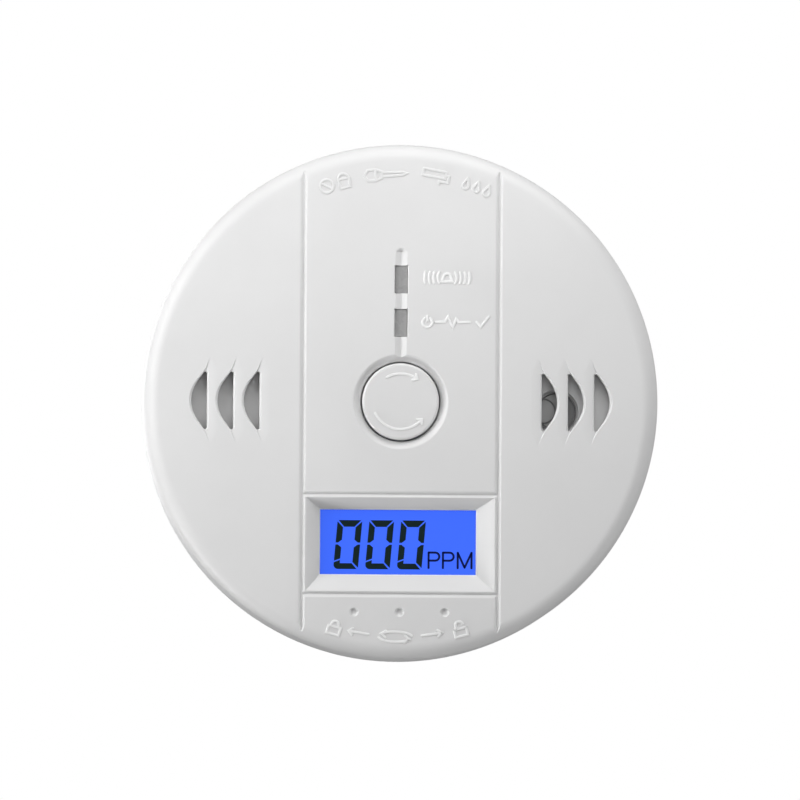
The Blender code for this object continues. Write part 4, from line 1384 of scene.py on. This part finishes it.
def contact(node):
    """A plate with a ring pressed into it behind each cell. The end plates have tails to the board."""
    spot = place(node)
    tall = 12
    thick = spot.width
    plate = rounded_block(node, (spot.height, tall), (0, 0), 0, thick, 1.2, 0.08)
    tail = spot.front - spot.back - tall
    if tail > 1:
        centre = (0, (tall + tail) / 2 - 1)
        join(plate, rounded_block("tail", (2, tail + 2), centre, 0, thick, 0.3, 0.06))
        rows = (0,)
    else:
        pitch = place("battery_1").y - place("battery_2").y
        rows = (-pitch / 2, pitch / 2)
    for row in rows:
        for outside, floor_z in ((thick + 1, thick - 0.12), (-1, 0.12)):
            ring = [(3.5, outside), (3.9, outside), (3.9, floor_z), (3.5, floor_z)]
            cut(plate, turned("pressed_ring", ring, 48, True, (row, 0)))
    upright = Matrix(((0, 0, 1, 0), (1, 0, 0, 0), (0, 1, 0, 0), (0, 0, 0, 1)))
    to_place = Matrix.Translation((spot.x - thick / 2, spot.y, spot.back + tall / 2))
    plate.data.transform(to_place @ upright)
    show(plate, node)


# --- The board and what it carries ---


def board_tracks(low, high):
    """Tracks from the chip down to the display, and across towards the transformer."""
    chip = place("mcu_chip")
    tracks = []
    for i in range(8):
        x = chip.x - 3.15 + 0.9 * i
        paths = [[(x, chip.y - 5), (x, 14), (x - 3, 11), (x - 3, -15.5)]]
        if i < 6:
            y = chip.y - 2.25 + 0.9 * i
            paths.append([(chip.x - 5, y), (3, y), (0, y - 3), (-5.5, y - 3)])
        for path in paths:
            outline = stroke_outline(path, 0.2, 4)
            tracks.append(flat_solid(f"track_{len(tracks)}", outline, low, high))
    return tracks


def main_pcb():
    """The board, with its holes, its tracks and the tinned copper round its holes and pins."""
    spot = place("main_pcb")
    skin = 0.04
    low = spot.back + skin
    top = spot.front - skin
    board = cylinder("board", spot.width / 2, low, top, steps=160, edge=0.15)
    pads = [cylinders("screw_pads", 2.7, spot.back, spot.front, BOARD_SCREWS)]
    half_pitches = {
        "alarm_led": 1.27, "operate_led": 1.27, "smoothing_capacitor": 1.25,
        "sounder_transformer": 2.5, "test_switch": 2.3, "co_sensor_body": 6,
    }
    for node, apart in half_pitches.items():
        part = place(node)
        for x in (part.x - apart, part.x + apart):
            pads.append(cylinder(f"{node}_pad_{x}", 0.8, spot.back, spot.front, (x, part.y), 20))
    strip = place("lcd_connector")
    for i in range(20):
        at = (strip.x + 1.5 * (i - 9.5), strip.y)
        pads.append(rounded_block(f"finger_{i}", (0.8, 1.6), at, top - 0.1, spot.front, 0.1, 0.01))
    join(board, merged("pads", pads), merged("tracks", board_tracks(top - 0.1, top + 0.02)))
    through = (23, 27)
    holes = [
        cylinders("case_screw_holes", 3.6, *through, CASE_SCREWS, steps=48),
        cylinders("board_screw_holes", 1.4, *through, BOARD_SCREWS),
    ]
    for name in ("positive", "negative"):
        tail = place(f"contact_{name}")
        holes.append(rounded_block(f"{name}_hole", TAIL_SLOT, tail.at, *through, 0.3, 0.01))
    cut(board, merged("holes", holes))
    show(board, "main_pcb")
    middle_z = (low + top) / 2
    bare = (top - low) / 2 + skin - 0.005
    paint(board, "tin", lambda middle: abs(middle.z - middle_z) > bare)


def mcu_chip():
    """A flat pack with gull-wing legs down its four sides."""
    spot = place("mcu_chip")
    half = spot.width / 2 - 1.1
    low = spot.back + 0.15
    body = rounded_block("chip", (2 * half, 2 * half), spot.at, low, spot.front, 0.2, 0.12)
    knee = low + 0.65
    wire = 0.14
    section = ((half - 0.2, knee), (half + 0.35, knee), (half + 0.6, spot.back + wire))
    section += ((spot.width / 2, spot.back + wire),)
    legs = []
    for quarter in range(4):
        cos, sin = ((1, 0), (0, 1), (-1, 0), (0, -1))[quarter]
        for i in range(9):
            along = 0.8 * (i - 4)
            x = spot.x - along * sin
            y = spot.y + along * cos
            route = [(x + r * cos, y + r * sin, z) for r, z in section]
            legs.append(tube("leg", route, wire, 6))
    join(body, merged("legs", legs))
    corner = (spot.x - half + 0.9, spot.y + half - 0.9)
    cut(body, cylinder("dot", 0.4, spot.front - 0.08, spot.front + 1, corner))
    show(body, "mcu_chip")

    def on_legs(middle):
        return max(abs(middle.x - spot.x), abs(middle.y - spot.y)) > half + 0.01

    paint(body, "tin", on_legs)


def sounder_transformer():
    """A ferrite drum with its winding showing between its flanges."""
    spot = place("sounder_transformer")
    radius = spot.radius
    winding = radius - 0.7
    flange = 1.2
    turns = 17
    pitch = (spot.front - spot.back - 2 * flange) / turns
    wound = []
    for i in range(turns):
        top = spot.front - flange - i * pitch
        wound += [(winding - 0.12, top), (winding, top - pitch / 3), (winding, top - pitch * 2 / 3)]
    wound.append((winding - 0.12, spot.back + flange))
    profile = [
        (0, spot.front), *top_edge(radius, spot.front, 0.3, 3), (radius, spot.front - flange),
        *wound, (radius, spot.back + flange), *foot_edge(radius, spot.back, 0.3, 3),
        (0, spot.back),
    ]
    drum = turned("drum", profile, 64, at=spot.at)
    cut(drum, rounded_block("drum_slot", (5, 0.9), spot.at, spot.front - 0.6, spot.front + 1, 0.4, 0.05))
    show(drum, "sounder_transformer")

    def is_wound(middle):
        between = spot.back + flange < middle.z < spot.front - flange
        return between and off_axis(middle, spot.at) < winding + 0.05

    paint(drum, "copper", is_wound)


def smoothing_capacitor():
    """A can in a sleeve, pinched in near its foot, with its vent scored across its top."""
    spot = place("smoothing_capacitor")
    radius = spot.radius
    inset = spot.front - 0.15
    profile = [
        (0, inset), (radius - 0.75, inset), *arc((radius - 0.4, spot.front - 0.4), 0.4, 120, 0, 6),
        (radius, spot.back + 2), (radius - 0.35, spot.back + 1.7),
        (radius - 0.35, spot.back + 1.4), (radius, spot.back + 1.1),
        *foot_edge(radius, spot.back, 0.3, 3), (0, spot.back),
    ]
    can = turned("can", profile, 56, at=spot.at)
    for bar in ((3.6, 0.3), (0.3, 3.6)):
        cut(can, rounded_block("score", bar, spot.at, inset - 0.15, inset + 1, 0.02, 0.02))
    show(can, "smoothing_capacitor")

    paint(can, "tin", lambda middle: middle.z > inset - 0.3 and off_axis(middle, spot.at) < radius - 0.74)


def led(name):
    """A clear dome on a collar with one flat side."""
    spot = place(f"{name}_led")
    collar = spot.radius
    dome = 1.2
    collar_top = spot.back + 0.55
    profile = [
        *arc((0, spot.front - dome), dome, 90, 0, 10), (dome, collar_top),
        (collar - 0.05, collar_top), (collar, collar_top - 0.05), (collar, spot.back),
        (0, spot.back),
    ]
    lamp = turned(f"{name}_lamp", profile, 48, at=spot.at)
    beside = (spot.x + collar + 0.32, spot.y)
    cut(lamp, rounded_block("flat", (1, 4), beside, spot.back - 1, collar_top + 1, 0.1))
    show(lamp, f"{name}_led")


def test_switch():
    """A push switch: a body, a riveted cover and the bore its plunger slides in."""
    spot = place("test_switch")
    at = spot.at
    size = spot.width
    cover_low = spot.front - 0.45
    body = rounded_block("switch_body", (size, size), at, spot.back, cover_low, 0.4, 0.1)
    lid = (size - 0.3, size - 0.3)
    join(body, rounded_block("switch_cover", lid, at, cover_low - 0.3, spot.front - 0.15, 0.3, 0.1))
    corners = [(at[0] + sx * 2.2, at[1] + sy * 2.2) for sx in (1, -1) for sy in (1, -1)]
    rivets = [cylinder("rivet", 0.42, spot.front - 1, spot.front, corner, 20, 0.1) for corner in corners]
    join(body, merged("rivets", rivets))
    bore = 2
    cut(body, cylinder("bore", bore, spot.back + 0.6, spot.front + 1, at, 48))
    show(body, "test_switch")

    paint(body, "tin", lambda middle: middle.z > cover_low - 0.02 and off_axis(middle, at) > bore + 0.02)

    stem = place("switch_plunger")
    radius = stem.radius
    profile = [
        (0, stem.front), *top_edge(radius, stem.front, 0.35, 5), (radius, stem.back + 0.5),
        (radius - 0.15, stem.back + 0.4), (radius - 0.15, stem.back), (0, stem.back),
    ]
    show(turned("plunger", profile, 48, at=at), "switch_plunger")


def display_stack():
    """What lies behind the glass: its frame, its backlight and the striped rubber that feeds it."""
    frame_spot = place("lcd_frame")
    at = frame_spot.at
    outside = frame_spot.size
    inside = grown(outside, -3)
    low = frame_spot.back
    surround = rounded_block("surround", outside, at, low, frame_spot.front, 0.8, 0.2)
    cut(surround, rounded_block("opening", inside, at, low - 1, frame_spot.front + 1, 0.2, 0.1))
    for side in (1, -1):
        across = (at[0] + side * outside[0] / 4, at[1])
        cut(surround, rounded_block("slot", (5, outside[1] + 2), across, low + 1.5, low + 2.8, 0.1, 0.3))
    show(surround, "lcd_frame")

    guide = place("lcd_backlight")
    panel = rounded_block("panel", guide.size, guide.at, guide.back, guide.front, 0.4)
    dots = []
    for row in range(5):
        for column in range(12):
            dot_at = (guide.x + 2.5 * (column - 5.5), guide.y + 2.4 * (row - 2))
            dots.append(cylinder("dot", 0.45, guide.back - 1, guide.back + 0.12, dot_at, 12))
    cut(panel, merged("dots", dots))
    show(panel, "lcd_backlight")

    strip = place("lcd_connector")
    core = rounded_block("core", grown(strip.size, -0.1), strip.at, strip.back, strip.front, 0.1, 0.08)
    bar = (0.45, strip.height)
    bars = []
    for i in range(32):
        bar_at = (strip.x + (i - 15.5) * 0.98, strip.y)
        bars.append(rounded_block("bar", bar, bar_at, strip.back + 0.1, strip.front - 0.1, 0.05, 0.04))
    join(core, merged("bars", bars))
    show(core, "lcd_connector")
    edge_y = strip.height / 2 - 0.02
    paint(core, "carbon", lambda middle: abs(middle.y - strip.y) > edge_y)


def piezo_disc():
    """A brass disc that carries a thin ceramic one, silvered on top."""
    spot = place("piezo_disc")
    radius = spot.radius
    ceramic = 7
    silver = 6.3
    profile = [
        (0, spot.front), (silver, spot.front), (silver, spot.front - 0.04),
        (ceramic, spot.front - 0.04), (ceramic, spot.front - 0.2), (radius, spot.front - 0.2),
        (radius, spot.back), (0, spot.back),
    ]
    disc = show(turned("sounding_disc", profile, 96, at=spot.at), "piezo_disc")
    brass = spot.front - 0.19
    edge = silver - 0.1
    paint(disc, "ceramic", lambda middle: middle.z > brass and off_axis(middle, spot.at) > edge)
    paint(disc, "tin", lambda middle: middle.z > brass and off_axis(middle, spot.at) < edge)


def sounder_lead(colour):
    """A lead that arches from the foot of the sounder to the board."""
    node = f"sounder_lead_{colour}"
    spot = place(node)
    wire = 0.5
    start = spot.x - spot.width / 2 + 0.4
    span = spot.width - 0.8
    foot = spot.back + 0.33
    arch = spot.front - wire - foot
    steps = 32
    route = []
    for i in range(steps + 1):
        share = i / steps
        route.append((start + span * share, spot.y, foot + arch * math.sin(math.pi * share)))
    show(tube(node, route, wire, 16), node)


def inside():
    for number in range(1, 5):
        screw(f"case_screw_{number}", head_height=1.8, shank_radius=1.3)
        screw(f"pcb_screw_{number}", head_height=1.4, shank_radius=1.0)
    for number in (1, 2, 3):
        battery(number)
        battery_spring(number)
    for name in ("positive", "negative", "bridge_left", "bridge_right"):
        contact(f"contact_{name}")
    main_pcb()
    mcu_chip()
    sounder_transformer()
    smoothing_capacitor()
    led("alarm")
    led("operate")
    test_switch()
    display_stack()
    piezo_disc()
    sounder_lead("red")
    sounder_lead("black")


# --- The floor, the lights and the camera ---


def floor():
    """A pale floor, which throws no light up at the object."""
    slab = flat_solid("floor", rounded_rectangle((6, 6), (0, 0), 0.3), -0.62, -0.6)
    material, tree, shader = new_material("floor")
    pale = mottle(tree, noise(tree, 3), (0.83, 0.83, 0.83), (0.86, 0.86, 0.86))
    feed(tree, shader, {"Base Color": pale, "Roughness": 0.9})
    slab.data.materials.append(material)
    slab.visible_diffuse = False
    slab.visible_glossy = False


def area_light(name, at, aim, size, power):
    light = bpy.data.lights.new(name, "AREA")
    light.shape = "DISK"
    light.size = size
    light.energy = power
    lamp = new_object(name, light)
    lamp.location = at
    lamp.rotation_mode = "QUATERNION"
    lamp.rotation_quaternion = (Vector(aim) - Vector(at)).to_track_quat("-Z", "Y")
    lamp.visible_camera = False
    return lamp


def surroundings():
    """Soft light from above and from the right, and a white background."""
    world = bpy.data.worlds.new("studio")
    world.use_nodes = True
    bpy.context.scene.world = world
    tree = world.node_tree
    ways = add_node(tree, "TexCoord", {}, "Generated")
    from_above = fade(tree, ways, "Z", -0.3, 0.3, 0.2)
    from_right = fade(tree, ways, "X", -0.3, 0.3, 0.25)
    around = tree.nodes["Background"]
    feed(tree, around, {
        "Color": (1, 1, 1, 1),
        "Strength": add_node(tree, "Math", {0: from_above, 1: from_right}, "Value"),
    })
    mixed = add_node(tree, "MixShader", {
        "Fac": add_node(tree, "LightPath", {}, "Is Camera Ray"),
        1: around.outputs["Background"],
        2: add_node(tree, "Background", {"Color": (1, 1, 1, 1)}, "Background"),
    }, "Shader")
    feed(tree, tree.nodes["World Output"], {"Surface": mixed})


def studio():
    """Soft lights round the face and behind it. The one in front only fills, and isn't mirrored."""
    face_middle = (0, -FACE / 1000, 0)
    lights = (
        ("left", -0.225, 0.15, 0.075, 0.43, 0.16),
        ("low_left", -0.45, 0.1, -0.375, 1.4, 0.16),
        ("above_right", 0.035, 0.1, 0.15, 0.17, 0.16),
        ("low_right", 0.45, 0.1, -0.3, 0.5, 0.16),
        ("in_front", -0.05, 2.2, 0.2, 2.6, 0.5),
    )
    for name, x, in_front, z, power, size in lights:
        lamp = area_light(name, (x, -in_front - FACE / 1000, z), face_middle, size, power)
    lamp.visible_glossy = False
    area_light("back_fill", (-0.6, 0.9, 0.15), (0, 0, 0), 0.8, 5)
    surroundings()
    bpy.context.scene.view_settings.view_transform = "Standard"


def camera():
    """A long lens, a touch to the left of the middle and below it."""
    azimuth = math.radians(-1.4)
    elevation = math.radians(-2.1)
    roll = math.radians(0.35)
    distance = 3.0
    view_width = 0.1553
    level = math.cos(elevation)
    back = Vector((math.sin(azimuth) * level, -math.cos(azimuth) * level, math.sin(elevation)))
    lens = bpy.data.cameras.new("camera")
    lens.sensor_width = 36
    lens.lens = 36 * distance / view_width
    lens.clip_start = 0.05
    viewer = new_object("camera", lens)
    viewer.location = Vector((-0.00013, -FACE / 1000, 0.0003)) + back * distance
    viewer.rotation_mode = "QUATERNION"
    viewer.rotation_quaternion = (-back).to_track_quat("-Z", "Y") @ Quaternion((0, 0, 1), roll)
    bpy.context.scene.camera = viewer


cover_piece = front_cover()
test_button()
light_pipe("alarm")
light_pipe("operate")
keep_light_off(display(), cover_piece)
sensor()
sounder()
rear_housing()
mounting_base()
inside()
floor()
studio()
camera()
